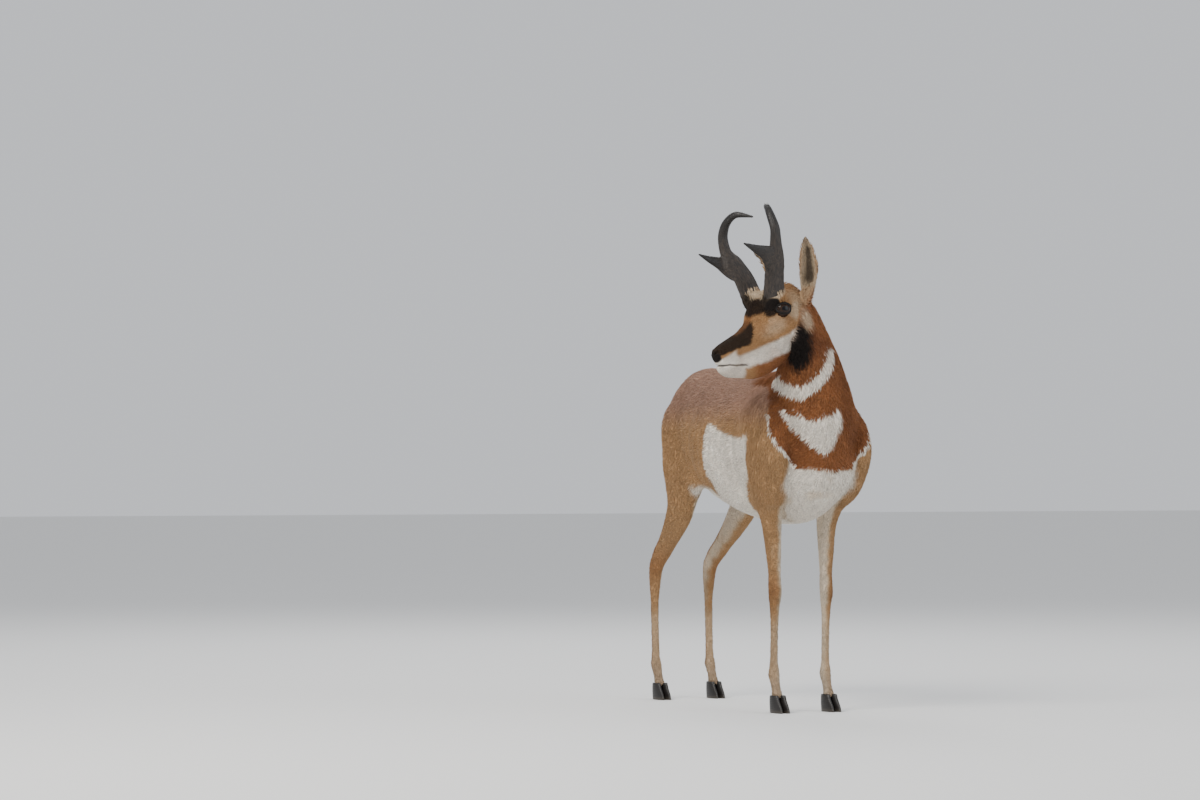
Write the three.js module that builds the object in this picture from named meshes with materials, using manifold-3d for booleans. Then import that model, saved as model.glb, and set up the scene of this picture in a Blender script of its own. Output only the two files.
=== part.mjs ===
// A life-size pronghorn buck, standing square with the head turned to its own right.
// Millimetres, +Z up. The animal faces -Y, its left side is +X, and the hooves stand on z = 0.
import * as THREE from "three";
import { mergeVertices } from "three/addons/utils/BufferGeometryUtils.js";
import Module from "manifold-3d";

const wasm = await Module();
wasm.setup();

// Driving sizes
const GAP = 0.3; // between two pieces that meet face to face
const BODY_AT = [79, -8.5, 0]; // moves the animal so that the origin is below the middle of its box
const WITHERS = 862; // height of the shoulders
const STERNUM = 462; // height of the brisket between the forelegs
const CHEST_HALF = 142; // half the width of the rib cage
const FORE_X = 73; // half the distance between the fore knees
const FORE_Y = -240;
const KNEE_HEIGHT = 300;
const HOCK_X = 80; // half the distance between the hocks
const HOCK_Y = 412;
const HOCK_HEIGHT = 350;
const HOOF_TOP = 44;
const HEAD_AT = [-147, -325, 1005]; // midway between the eyes
const HEAD_TURN = -75; // degrees about +Z, to the animal's right
const HEAD_PITCH = 32; // degrees nose down
const EYE_AT = [48, 14, -4]; // the left eyeball's centre, seen from midway between the eyes
const EYE_R = 21;
const LID = 3.5; // thickness of the eyelids
const EAR_WALL = 3;
const MANE_LOCKS = 20;

// Colours
const TAN = 0xa8784f;
const BLACK_BROWN = 0x2a2320;
const HOOF_BLACK = 0x1c1a19;
const WHITE_HAIR = 0xe6dccb;
const EYE_BLACK = 0x0b0a0a;

const rad = THREE.MathUtils.degToRad;
const mix = (a, b, t) => a + (b - a) * t;
const SIDES = [["left", 1], ["right", -1]];

// A cubic through the values v at the places u, taken at t, whose slopes never overshoot.
function through(u, v, t) {
  const last = u.length - 2;
  const rise = (k) => (v[k + 1] - v[k]) / (u[k + 1] - u[k]);
  const slope = (k) => {
    if (k === 0) return rise(0);
    if (k > last) return rise(last);
    const [a, b] = [rise(k - 1), rise(k)];
    return a * b <= 0 ? 0 : (2 * a * b) / (a + b);
  };
  let k = 0;
  while (k < last && t > u[k + 1]) k++;
  const h = u[k + 1] - u[k];
  const s = THREE.MathUtils.clamp((t - u[k]) / h, 0, 1);
  const ease = s * s * (3 - 2 * s);
  return mix(v[k], v[k + 1], ease) + h * s * (1 - s) * (slope(k) * (1 - s) - slope(k + 1) * s);
}

// The path through a body's sections. Each section is [x, y, z, half width, half height up, half height
// down, turn]: up is the direction given, swung by turn degrees about +Z and squared to the path. The
// sections stand square to the path, or all to the direction along, where that is given.
function pathOf(sections, up, along) {
  const marks = [0];
  for (let i = 1; i < sections.length; i++) {
    const [a, b] = [sections[i - 1], sections[i]];
    marks.push(marks[i - 1] + Math.hypot(b[0] - a[0], b[1] - a[1], b[2] - a[2]));
  }
  const length = marks[marks.length - 1];
  const value = (k, t) => through(marks, sections.map((s) => s[k] ?? 0), t);
  const centre = (t) => new THREE.Vector3(value(0, t), value(1, t), value(2, t));
  const frame = (t) => {
    const step = length * 1e-3;
    const ahead = along
      ? new THREE.Vector3(...along)
      : centre(Math.min(t + step, length)).sub(centre(Math.max(t - step, 0))).normalize();
    const high = new THREE.Vector3(...up).applyAxisAngle(new THREE.Vector3(0, 0, 1), rad(value(6, t)));
    high.addScaledVector(ahead, -high.dot(ahead)).normalize();
    return { ahead, high, side: new THREE.Vector3().crossVectors(high, ahead) };
  };
  return { marks, length, value, centre, frame };
}

// A closed body carried along a path through its sections, with a round cap at both ends.
// per is the number of rings from one section to the next, and grow swells the whole body.
function loft(sections, shape) {
  const { around = 16, per = 1, caps = 3, up = [0, 0, 1], round = [10, 10], grow = 0, along } = shape;
  const path = pathOf(sections, up, along);
  const cap = (end, out) => (_, i) => {
    const a = ((out > 0 ? i + 1 : caps - i) / (caps + 0.35)) * (Math.PI / 2);
    return { t: end, past: out * Math.sin(a), scale: Math.cos(a) };
  };
  const rings = [
    { t: 0, past: -1, scale: 0 },
    ...Array.from({ length: caps }, cap(0, -1)),
    ...path.marks.slice(1).flatMap((m, i) =>
      Array.from({ length: per }, (_, j) => ({ t: mix(path.marks[i], m, j / per), past: 0, scale: 1 })),
    ),
    { t: path.length, past: 0, scale: 1 },
    ...Array.from({ length: caps }, cap(path.length, 1)),
    { t: path.length, past: 1, scale: 0 },
  ];
  const placed = rings.map(({ t, past, scale }) => {
    const { ahead, high, side } = path.frame(t);
    const reach = past * (round[past < 0 ? 0 : 1] + grow);
    return {
      middle: path.centre(t).addScaledVector(ahead, reach),
      side: side.multiplyScalar(scale * (path.value(3, t) + grow)),
      above: high.clone().multiplyScalar(scale * (path.value(4, t) + grow)),
      below: high.multiplyScalar(scale * (path.value(5, t) + grow)),
    };
  });
  const g = new THREE.SphereGeometry(1, around, rings.length - 1);
  const { position, uv } = g.attributes;
  for (let i = 0; i < position.count; i++) {
    const ring = placed[Math.round((1 - uv.getY(i)) * (rings.length - 1))];
    const column = Math.round(uv.getX(i) * around) % around;
    const [c, s] = [Math.cos((2 * Math.PI * column) / around), Math.sin((2 * Math.PI * column) / around)];
    const p = ring.middle.clone().addScaledVector(ring.side, c);
    p.addScaledVector(s > 0 ? ring.above : ring.below, s);
    position.setXYZ(i, p.x, p.y, p.z);
  }
  return g;
}

// A three.js geometry, moved by a matrix where one is given, as a manifold-3d solid that faces out.
function solid(geometry, matrix) {
  const g = geometry.index ? geometry.toNonIndexed() : geometry.clone();
  if (matrix) g.applyMatrix4(matrix);
  g.deleteAttribute("normal");
  g.deleteAttribute("uv");
  const merged = mergeVertices(g, 1e-3);
  const vertProperties = merged.attributes.position.array;
  const triVerts = new Uint32Array(merged.index.array);
  const made = new wasm.Manifold(new wasm.Mesh({ numProp: 3, vertProperties, triVerts }));
  if (made.volume() >= 0) return made;
  for (let i = 0; i < triVerts.length; i += 3)
    [triVerts[i + 1], triVerts[i + 2]] = [triVerts[i + 2], triVerts[i + 1]];
  return new wasm.Manifold(new wasm.Mesh({ numProp: 3, vertProperties, triVerts }));
}

const join = (list) => list.reduce((a, b) => a.add(b));
const cut = (s, ...tools) => tools.reduce((a, b) => a.subtract(b), s);
const byVolume = (s) => s.decompose().sort((a, b) => b.volume() - a.volume());
const largest = (s) => byVolume(s)[0];

// A flat slab one gap thick, square to the tilted plane z = height, that parts a leg.
function slab(height, y = 0, tilt = 0) {
  const g = new THREE.BoxGeometry(400, 1200, GAP).rotateX(rad(tilt));
  return solid(g.translate(0, y, height));
}

// Trunk: x, y, z of the centre, half width, up, down
const trunkSections = [
  [0, -401, 604, 12, 13, 12],
  [0, -396, 606, 30, 34, 32],
  [0, -386, 612, 58, 66, 62],
  [0, -366, 622, 86, 98, 92],
  [0, -335, 640, 106, 122, 132],
  [0, -288, 660, 119, 152, 182],
  [0, -225, 668, 132, 182, 204],
  [0, -160, 670, CHEST_HALF, WITHERS - 670, 670 - STERNUM],
  [0, -40, 672, CHEST_HALF + 8, 182, 194],
  [0, 80, 684, CHEST_HALF + 6, 178, 176],
  [0, 190, 705, 128, 170, 154],
  [0, 270, 718, 106, 158, 138],
  [0, 335, 720, 84, 134, 116],
  [0, 385, 722, 58, 98, 84],
];
const trunkShape = { around: 26, per: 2, round: [2, 30], along: [0, 1, 0] };
const trunk = (grow = 0) => solid(loft(trunkSections, { ...trunkShape, grow }));
const trunkGrown = join([trunk(), trunk(GAP)]);

// Neck: it rises from the chest and swings to the animal's right, with the nape on the up side.
const neckSections = [
  [0, -270, 590, 84, 90, 92, 0],
  [2, -272, 660, 112, 126, 132, 0],
  [4, -282, 725, 122, 136, 134, 0],
  [1, -294, 792, 104, 122, 113, 0],
  [-8, -306, 860, 82, 104, 91, -16],
  [-30, -313, 925, 66, 92, 78, -42],
  [-55, -306, 985, 56, 76, 64, -62],
  [-70, -302, 1016, 46, 58, 52, -70],
];
const neckShape = { around: 20, per: 2, up: [0, 1, 0], round: [20, 25] };
const neckGrown = solid(loft(neckSections, { ...neckShape, grow: GAP }));

// The head is drawn level, its nose towards -Y and the origin midway between the eyes, and then posed.
const headTurn = new THREE.Matrix4().makeRotationZ(rad(HEAD_TURN)).setPosition(...HEAD_AT);
const headPose = headTurn.clone().multiply(new THREE.Matrix4().makeRotationX(rad(HEAD_PITCH)));
const skullSections = [
  [0, -208, -16, 16, 16, 22],
  [0, -196, -18, 22, 22, 33],
  [0, -172, -22, 26, 26, 40],
  [0, -140, -32, 28, 34, 52],
  [0, -105, -44, 33, 45, 62],
  [0, -65, -50, 41, 57, 72],
  [0, -25, -47, 54, 76, 77],
  [0, 15, -38, 60, 77, 76],
  [0, 55, -32, 55, 68, 70],
  [0, 88, -30, 46, 54, 58],
];
const jawSections = [
  [0, -206, -50, 15, 17, 15],
  [0, -188, -61, 22, 26, 24],
  [0, -150, -80, 27, 36, 29],
  [0, -110, -100, 34, 50, 34],
  [0, -70, -108, 38, 46, 36],
  [0, -25, -100, 44, 52, 42],
  [0, 20, -82, 44, 52, 44],
];
const skullShape = { around: 20, per: 2, round: [9, 24] };
const jawShape = { around: 14, per: 2, round: [9, 22] };
const pedicelSections = (side) => [
  [side * 32, 2, 4, 24, 30, 34],
  [side * 39, -2, 26, 23, 34, 37],
  [side * 44, -6, 44, 19, 31, 34],
];
const pedicel = (side, grow) =>
  solid(loft(pedicelSections(side), { around: 14, per: 1, up: [0, 1, 0], round: [8, 4], grow }), headTurn);
const bareHead = (grow) => [
  solid(loft(skullSections, { ...skullShape, grow }), headPose),
  solid(loft(jawSections, { ...jawShape, grow }), headPose),
  pedicel(1, grow),
  pedicel(-1, grow),
];
const headGrown = join(bareHead(GAP));

const mirrored = (side, [x, y, z]) => [side * x, y, z];
function eyeball(side, radius) {
  const g = new THREE.SphereGeometry(radius, 16, 10).rotateZ(side > 0 ? 0 : Math.PI);
  return solid(g.translate(...mirrored(side, EYE_AT)), headTurn);
}

// The almond between the lids, cut straight in along the way the eye looks.
function eyeOpening(side) {
  const [half, lower, upper] = [19, 12, 15];
  const almond = new THREE.Shape().moveTo(-half, -1);
  almond.quadraticCurveTo(0, -2 * lower + 1, half, 1).quadraticCurveTo(0, 2 * upper, -half, -1);
  const g = new THREE.ExtrudeGeometry(almond, { depth: 40, bevelEnabled: false, curveSegments: 6 });
  const look = new THREE.Vector3(side * 0.95, -0.3, 0.08).normalize();
  const along = new THREE.Vector3(0, 0, 1).cross(look).normalize();
  const basis = new THREE.Matrix4().makeBasis(along, new THREE.Vector3().crossVectors(look, along), look);
  return solid(g.applyMatrix4(basis.setPosition(...mirrored(side, EYE_AT))), headTurn);
}

function nostril(side) {
  const g = new THREE.SphereGeometry(1, 10, 8).scale(6, 9, 5);
  return solid(g.rotateZ(rad(side * 24)).translate(side * 19, -205, -8), headPose);
}

// A horn stands on the brow: a beam that hooks inwards at its tip, and a flat prong that points forwards.
// x, y, z, half thickness, back, front. The two horns of the animal aren't quite alike.
const HORNS = {
  left: { hook: [[58, -46, 250], [30, -22, 256]], prongDrop: 0 },
  right: { hook: [[50, -46, 236], [14, -28, 226]], prongDrop: 20 },
};
function horn(name, side) {
  const { hook, prongDrop } = HORNS[name];
  const beam = [
    [side * 40, -4, 26, 19, 31, 33],
    [side * 52, -14, 70, 16, 28, 31 + prongDrop * 0.3],
    [side * 73, -30, 112, 14, 25, 28 + prongDrop * 0.7],
    [side * 91, -46, 152 - prongDrop * 0.5, 12, 17, 19],
    [side * 95, -52, 184 - prongDrop * 0.5, 12, 14, 14],
    [side * 84, -54, 216 - prongDrop * 0.5, 11, 12, 12],
    [side * hook[0][0], hook[0][1], hook[0][2] - 4, 9, 8, 8],
    [side * hook[1][0], hook[1][1], hook[1][2], 4, 4, 4],
  ];
  const prong = [
    [side * 74, -34, 120 - prongDrop, 10, 30, 40],
    [side * 87, -76, 135 - prongDrop, 8, 16, 24],
    [side * 85, -110, 143 - prongDrop, 6, 8, 14],
    [side * 82, -142, 151 - prongDrop, 3, 3.5, 4.5],
  ];
  return join([
    solid(loft(beam, { around: 14, per: 2, up: [0, 1, 0], round: [8, 5] }), headTurn),
    solid(loft(prong, { around: 12, per: 2, up: [side * 0.5, 0, 1], round: [8, 6] }), headTurn),
  ]);
}

// An ear is a leaf-shaped cup, open to the front and the side. The left one is held a little higher.
function ear(side) {
  const lift = side * 14;
  const path = (wall) => [
    [side * 44, 96, 14, 13 - wall, 15 - wall, 14 - wall],
    [side * 54, 95, 48, 17 - wall, 17 - wall, 14 - wall],
    [side * 62, 90, 72, 22 - wall, 17 - wall, 14 - wall],
    [side * 72, 82, 100, 24 - wall, 14 - wall, 12 - wall],
    [side * 82, 68, 135 + lift * 0.6, 17 - wall, 10 - wall, 8 - wall],
    [side * 90, 54, 156 + lift, 6 - wall * 0.6, 4 - wall * 0.4, 4 - wall * 0.4],
  ];
  const shape = { around: 14, per: 2, caps: 2, up: [-side * 0.5, 0.85, 0], round: [6, 4] };
  const bottom = [side * 56, 94, 46, 3, 3, 3];
  const hollow = loft([bottom, ...path(EAR_WALL).slice(2)], shape).translate(side * 5, -10, 3);
  return cut(solid(loft(path(0), shape), headTurn), solid(hollow, headTurn));
}

// Legs: x, y, z, half width, back, front, from the body down to the top of the hoof
const foreSections = (s) => [
  [s * 54, -186, 806, 24, 40, 40],
  [s * 108, -228, 738, 40, 76, 76],
  [s * 116, -284, 655, 46, 88, 84],
  [s * 108, -276, 580, 42, 78, 66],
  [s * 88, -240, 522, 34, 50, 44],
  [s * 78, -235, 468, 26, 34, 31],
  [s * 75, -238, 400, 21, 25, 23],
  [s * FORE_X, FORE_Y, 340, 18, 19, 19],
  [s * FORE_X, FORE_Y - 2, KNEE_HEIGHT, 18.5, 20, 21],
  [s * FORE_X, FORE_Y, 262, 15, 16, 15],
  [s * FORE_X, FORE_Y + 2, 200, 12.5, 14, 12],
  [s * FORE_X, FORE_Y + 3, 130, 12.5, 15, 12],
  [s * FORE_X, FORE_Y + 2, 95, 16, 19, 15],
  [s * FORE_X, FORE_Y - 6, 66, 14, 15, 13],
  [s * FORE_X, FORE_Y - 15, 36, 17, 17, 16],
];
const hindSections = (s) => [
  [s * 36, 262, 805, 32, 56, 60],
  [s * 70, 256, 728, 46, 106, 108],
  [s * 76, 238, 650, 44, 112, 124],
  [s * 88, 232, 580, 40, 84, 102],
  [s * 92, 240, 518, 32, 56, 62],
  [s * 88, 284, 462, 25, 42, 42],
  [s * 83, 344, 405, 20, 35, 30],
  [s * HOCK_X, HOCK_Y - 8, HOCK_HEIGHT, 18, 32, 25],
  [s * HOCK_X, HOCK_Y + 2, 308, 16.5, 22, 20],
  [s * HOCK_X, HOCK_Y + 4, 258, 13, 15.5, 14.5],
  [s * HOCK_X, HOCK_Y + 2, 180, 12.5, 14, 13],
  [s * HOCK_X, HOCK_Y - 2, 115, 13, 16, 13],
  [s * HOCK_X, HOCK_Y - 6, 92, 16, 19, 15],
  [s * HOCK_X, HOCK_Y - 16, 64, 14, 15, 13],
  [s * HOCK_X, HOCK_Y - 26, 36, 17, 17, 16],
];
const legShape = { around: 16, up: [0, 1, 0], round: [16, 3] };

// Parts a leg by slabs and returns its lengths from the body down to the hoof.
function lengthsOf(leg, slabs) {
  const middle = (s) => (s.boundingBox().min[2] + s.boundingBox().max[2]) / 2;
  return byVolume(cut(leg, ...slabs)).slice(0, slabs.length + 1).sort((a, b) => middle(b) - middle(a));
}

// One of a foot's two pointed claws, with a flat sole on the floor.
function claw(x, y) {
  const sections = [
    [x, y + 6, HOOF_TOP + 8, 8, 17, 15],
    [x, y + 4, HOOF_TOP - 12, 9, 21, 22],
    [x, y, 12, 9.5, 24, 33],
    [x, y - 2, -8, 9.5, 24, 38],
  ];
  const floor = solid(new THREE.BoxGeometry(200, 400, 40).translate(x, y, -20));
  const above = solid(new THREE.BoxGeometry(200, 400, 40).translate(x, y, HOOF_TOP + 20));
  return cut(solid(loft(sections, { around: 12, up: [0, 1, 0], caps: 1, round: [2, 2] })), floor, above);
}

const tailSections = [
  [0, 395, 800, 22, 16, 16],
  [0, 428, 786, 22, 15, 15],
  [0, 446, 750, 20, 13, 13],
  [0, 452, 712, 13, 9, 9],
  [0, 453, 690, 5, 4, 4],
];

// A short mane of flat, pointed locks runs down the nape.
function mane() {
  const path = pathOf(neckSections, neckShape.up);
  return Array.from({ length: MANE_LOCKS }, (_, i) => {
    const t = path.length * mix(0.36, 0.97, i / (MANE_LOCKS - 1));
    const { ahead, high, side } = path.frame(t);
    const skin = path.value(4, t);
    const long = 34 + 8 * Math.sin(i * 2.4);
    const lean = 5 * Math.sin(i * 1.7);
    const knot = (out, down, across, half, thick) => {
      const p = path.centre(t).addScaledVector(high, skin + out).addScaledVector(ahead, -down);
      return [...p.addScaledVector(side, across).toArray(), half, thick, thick];
    };
    const sections = [
      knot(-9, -8, 0, 9, 4),
      knot(4, 6, lean * 0.3, 8.5, 3.4),
      knot(12, long * 0.6, lean * 0.7, 5.5, 2.2),
      knot(14, long, lean, 1.2, 0.8),
    ];
    return solid(loft(sections, { around: 6, caps: 1, up: high.toArray(), round: [1.5, 1.2] }));
  });
}

const nodes = []; // [name, solid, colour]
const add = (name, s, color) => nodes.push([name, s, color]);

add("torso", trunk(), TAN);
const bareNeck = join([solid(loft(neckSections, neckShape)), ...mane()]);
add("neck", largest(cut(bareNeck, trunkGrown, headGrown)), TAN);

const sockets = SIDES.map(([, side]) => eyeball(side, EYE_R + GAP));
const lids = SIDES.map(([, side]) => eyeball(side, EYE_R + LID));
const openings = SIDES.map(([, side]) => eyeOpening(side));
const nostrils = SIDES.map(([, side]) => nostril(side));
const head = cut(join([...bareHead(0), ...lids]), ...sockets, ...openings, ...nostrils);
add("head", largest(head), TAN);
const headAndLids = join([headGrown, ...SIDES.map(([, side]) => eyeball(side, EYE_R + LID + GAP))]);

for (const [name, side] of SIDES) {
  add(`eye_${name}`, eyeball(side, EYE_R), EYE_BLACK);
  const hornSolid = largest(cut(horn(name, side), headAndLids));
  add(`horn_${name}`, hornSolid, BLACK_BROWN);
  add(`ear_${name}`, largest(cut(ear(side), headGrown, neckGrown)), TAN);

  const fore = largest(cut(solid(loft(foreSections(side), legShape)), trunkGrown, neckGrown, slab(HOOF_TOP + GAP)));
  const foreSlabs = [slab(512, -240, 18), slab(KNEE_HEIGHT)];
  const [shoulder, forearm, foreCannon] = lengthsOf(fore, foreSlabs);
  add(`shoulder_${name}`, shoulder, TAN);
  add(`forearm_${name}`, forearm, TAN);
  add(`fore_cannon_${name}`, foreCannon, TAN);

  const hind = largest(cut(solid(loft(hindSections(side), legShape)), trunkGrown, slab(HOOF_TOP + GAP)));
  const hindSlabs = [slab(548, 270, 24), slab(HOCK_HEIGHT, HOCK_Y, 20)];
  const [thigh, gaskin, hindCannon] = lengthsOf(hind, hindSlabs);
  add(`thigh_${name}`, thigh, TAN);
  add(`gaskin_${name}`, gaskin, TAN);
  add(`hind_cannon_${name}`, hindCannon, TAN);

  for (const [half, offset] of [["inner", -10.2], ["outer", 10.2]]) {
    add(`fore_hoof_${name}_${half}`, claw(side * (FORE_X + offset), FORE_Y - 22), HOOF_BLACK);
    add(`hind_hoof_${name}_${half}`, claw(side * (HOCK_X + offset), HOCK_Y - 33), HOOF_BLACK);
  }
}
add("tail", largest(cut(solid(loft(tailSections, { around: 12, per: 2, up: [0, 1, 0] })), trunkGrown)), WHITE_HAIR);

function meshOf([name, s, color]) {
  const m = s.getMesh();
  const v = new Float32Array(m.numVert * 3);
  for (let i = 0; i < m.numVert; i++)
    v.set(m.vertProperties.subarray(i * m.numProp, i * m.numProp + 3), i * 3);
  const g = new THREE.BufferGeometry();
  g.setAttribute("position", new THREE.BufferAttribute(v, 3));
  g.setIndex(new THREE.BufferAttribute(m.triVerts, 1));
  g.computeVertexNormals();
  const mesh = new THREE.Mesh(g, new THREE.MeshStandardMaterial({ color, roughness: 0.8, metalness: 0 }));
  mesh.name = name;
  return mesh;
}

const pronghorn = new THREE.Group();
pronghorn.position.set(...BODY_AT);
pronghorn.add(...nodes.map(meshOf));
export default pronghorn;
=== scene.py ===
from collections import namedtuple
import bmesh
import bpy
import numpy as np
from mathutils import Matrix, Vector


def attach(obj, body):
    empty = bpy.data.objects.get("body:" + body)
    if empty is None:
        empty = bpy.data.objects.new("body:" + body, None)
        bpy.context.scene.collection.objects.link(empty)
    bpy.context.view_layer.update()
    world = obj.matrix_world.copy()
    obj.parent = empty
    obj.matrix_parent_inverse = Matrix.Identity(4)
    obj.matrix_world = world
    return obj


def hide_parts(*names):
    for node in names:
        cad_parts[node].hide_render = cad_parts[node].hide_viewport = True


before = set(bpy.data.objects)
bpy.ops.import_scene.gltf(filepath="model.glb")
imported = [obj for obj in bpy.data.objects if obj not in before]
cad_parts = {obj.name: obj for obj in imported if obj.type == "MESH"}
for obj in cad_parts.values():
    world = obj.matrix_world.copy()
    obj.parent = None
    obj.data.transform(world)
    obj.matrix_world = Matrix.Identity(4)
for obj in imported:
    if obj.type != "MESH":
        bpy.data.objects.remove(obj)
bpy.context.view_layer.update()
MM = 0.001

# The studio: even pale light from all round, one broad soft key light from above the camera's left, a
# weaker fill and a rim. The camera stands where the photograph was taken from: low, ten metres off,
# ahead of the buck and to its right.
ORIGIN = np.array([79.0, -8.5, 0.0]) * MM  # the zero of the body's millimetres, in the frame
YAW = 28.0  # degrees between the view and the buck's own length
DISTANCE = 10.0
CAMERA_HEIGHT = 0.605
PHOTO_SIZE = (1200, 800)
PIXELS_PER_METRE = 390.0  # of the photograph, at the origin
SIGHT = (755.2, 470.0)  # the photograph's pixel that lies level ahead of the camera, over the origin

camera_data = bpy.data.cameras.new("camera")
camera_data.sensor_width = 36.0
camera_data.lens = camera_data.sensor_width * PIXELS_PER_METRE * DISTANCE / PHOTO_SIZE[0]
camera = bpy.data.objects.new("camera", camera_data)
bpy.context.scene.collection.objects.link(camera)
bpy.context.scene.camera = camera
yaw = np.radians(YAW)
ahead = Vector((np.sin(yaw), np.cos(yaw), 0))
camera.location = Vector(ORIGIN) - ahead * DISTANCE + Vector((0, 0, CAMERA_HEIGHT))
focal = PIXELS_PER_METRE * DISTANCE  # in the photograph's pixels
pan = np.arctan((SIGHT[0] - PHOTO_SIZE[0] / 2) / focal)
tilt = np.arctan((SIGHT[1] - PHOTO_SIZE[1] / 2) / focal)
view = Matrix.Rotation(pan, 3, "Z") @ ahead
view = (view * np.cos(tilt) + Vector((0, 0, np.sin(tilt)))).normalized()
camera.rotation_euler = view.to_track_quat("-Z", "Y").to_euler()


LIT_MIDDLE = Vector((0, 0, 0.75))


def soft_light(name, azimuth, height, far, size, power, colour):
    """An area light that stands at the azimuth, in degrees from the front, and faces the buck."""
    data = bpy.data.lights.new(name, "AREA")
    data.size = size
    data.energy = power
    data.color = colour
    lamp = bpy.data.objects.new(name, data)
    bpy.context.scene.collection.objects.link(lamp)
    turn = np.radians(azimuth)
    lamp.location = (far * np.sin(turn), -far * np.cos(turn), height)
    lamp.rotation_euler = (LIT_MIDDLE - lamp.location).to_track_quat("-Z", "Y").to_euler()


soft_light("key", -62, 4.2, 4.2, 2.6, 250, (1.0, 0.96, 0.9))
soft_light("fill", 40, 2.4, 5.5, 4.0, 110, (0.92, 0.96, 1.0))
soft_light("rim", 160, 4.5, 4.0, 3.0, 125, (1.0, 1.0, 1.0))
world = bpy.data.worlds.new("studio")
bpy.context.scene.world = world
world.use_nodes = True
world.node_tree.nodes["Background"].inputs["Color"].default_value = (0.84, 0.86, 0.90, 1)
world.node_tree.nodes["Background"].inputs["Strength"].default_value = 0.85

# The body under the coat: one closed skin for trunk, neck, head, ears, legs and tail. Each is a rounded
# form carried along its own path, as muscle and bone fill it out, and the skin is drawn over all of
# them with its hollows eased. It lies some millimetres inside the solids, to leave room for the coat.
# Sections are in millimetres: x, y, z, half width, half height up, half height down, turn about +Z.
HEAD_AT = np.array([-147.0, -325.0, 1005.0])  # midway between the eyes
HEAD_TURN = np.radians(-75)  # to the buck's right
HEAD_PITCH = np.radians(32)  # nose down
HOOF_TOP = 44.0
FORE_FOOT = np.array([73.0, -240.0])
HIND_FOOT = np.array([80.0, 412.0])
EYE_AT = np.array([48.0, 14.0, -4.0])
EYE_R = 21.0

TRUNK = [
    [0, -401, 604, 12, 13, 12], [0, -396, 606, 30, 34, 32], [0, -386, 612, 58, 66, 62],
    [0, -366, 622, 86, 98, 92], [0, -335, 640, 106, 122, 132], [0, -288, 660, 119, 152, 182],
    [0, -225, 668, 132, 182, 204],
    [0, -160, 670, 142, 192, 208], [0, -40, 672, 150, 182, 194], [0, 80, 684, 148, 178, 176],
    [0, 190, 705, 128, 170, 154], [0, 270, 718, 106, 158, 138], [0, 335, 720, 84, 134, 116],
    [0, 385, 722, 58, 98, 84],
]
NECK = [
    [0, -270, 590, 84, 90, 92, 0], [2, -272, 660, 112, 126, 132, 0], [4, -282, 725, 122, 136, 134, 0],
    [1, -294, 792, 104, 122, 113, 0], [-8, -306, 860, 82, 104, 91, -16],
    [-30, -313, 925, 66, 92, 78, -42], [-55, -306, 985, 56, 76, 64, -62],
    [-70, -302, 1016, 46, 58, 52, -70],
]
SKULL = [
    [0, -208, -16, 16, 16, 22], [0, -196, -18, 22, 22, 33], [0, -172, -22, 26, 26, 40],
    [0, -140, -32, 28, 34, 52], [0, -105, -44, 33, 45, 62], [0, -65, -50, 41, 57, 72],
    [0, -25, -47, 54, 76, 77], [0, 15, -38, 60, 77, 76], [0, 55, -32, 55, 68, 70],
    [0, 88, -30, 46, 54, 58],
]
JAW = [
    [0, -206, -50, 15, 17, 15], [0, -188, -61, 22, 26, 24], [0, -150, -80, 27, 36, 29],
    [0, -110, -100, 34, 50, 34], [0, -70, -108, 38, 46, 36], [0, -25, -100, 44, 52, 42],
    [0, 20, -82, 44, 52, 44],
]
HORN_CORE = [[32, 2, 4, 24, 30, 34], [39, -2, 26, 23, 34, 37], [44, -6, 44, 19, 31, 34]]
FORELEG = [
    [54, -186, 806, 24, 40, 40], [108, -228, 738, 40, 76, 76], [116, -284, 655, 46, 88, 84],
    [108, -276, 580, 42, 78, 66], [88, -240, 522, 34, 50, 44], [78, -235, 468, 26, 34, 31],
    [75, -238, 400, 21, 25, 23], [73, -240, 340, 18, 19, 19], [73, -242, 300, 18.5, 20, 21],
    [73, -240, 262, 15, 16, 15], [73, -238, 200, 12.5, 14, 12], [73, -237, 130, 12.5, 15, 12],
    [73, -238, 95, 16, 19, 15], [73, -246, 66, 14, 15, 13], [73, -255, 36, 17, 17, 16],
]
HINDLEG = [
    [36, 262, 805, 32, 56, 60], [70, 256, 728, 46, 106, 108], [76, 238, 650, 44, 112, 124],
    [88, 232, 580, 40, 84, 102], [92, 240, 518, 32, 56, 62], [88, 284, 462, 25, 42, 42],
    [83, 344, 405, 20, 35, 30], [80, 404, 350, 18, 32, 25], [80, 414, 308, 16.5, 22, 20],
    [80, 416, 258, 13, 15.5, 14.5], [80, 414, 180, 12.5, 14, 13], [80, 410, 115, 13, 16, 13],
    [80, 406, 92, 16, 19, 15], [80, 396, 64, 14, 15, 13], [80, 386, 36, 17, 17, 16],
]
TAIL = [[0, 395, 800, 22, 16, 16], [0, 428, 786, 22, 15, 15], [0, 446, 750, 20, 13, 13],
        [0, 452, 712, 13, 9, 9], [0, 453, 690, 5, 4, 4]]
EAR_LIFT = 14.0  # how far above the middle the left ear stands, and the right ear below it


def ear_sections(side):
    lift = side * EAR_LIFT
    return [
        [side * 44, 96, 14, 13, 15, 14], [side * 54, 95, 48, 17, 17, 14], [side * 62, 90, 72, 22, 17, 14],
        [side * 72, 82, 100, 24, 14, 12], [side * 82, 68, 135 + lift * 0.6, 17, 10, 8],
        [side * 90, 54, 156 + lift, 6, 4, 4],
    ]


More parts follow.
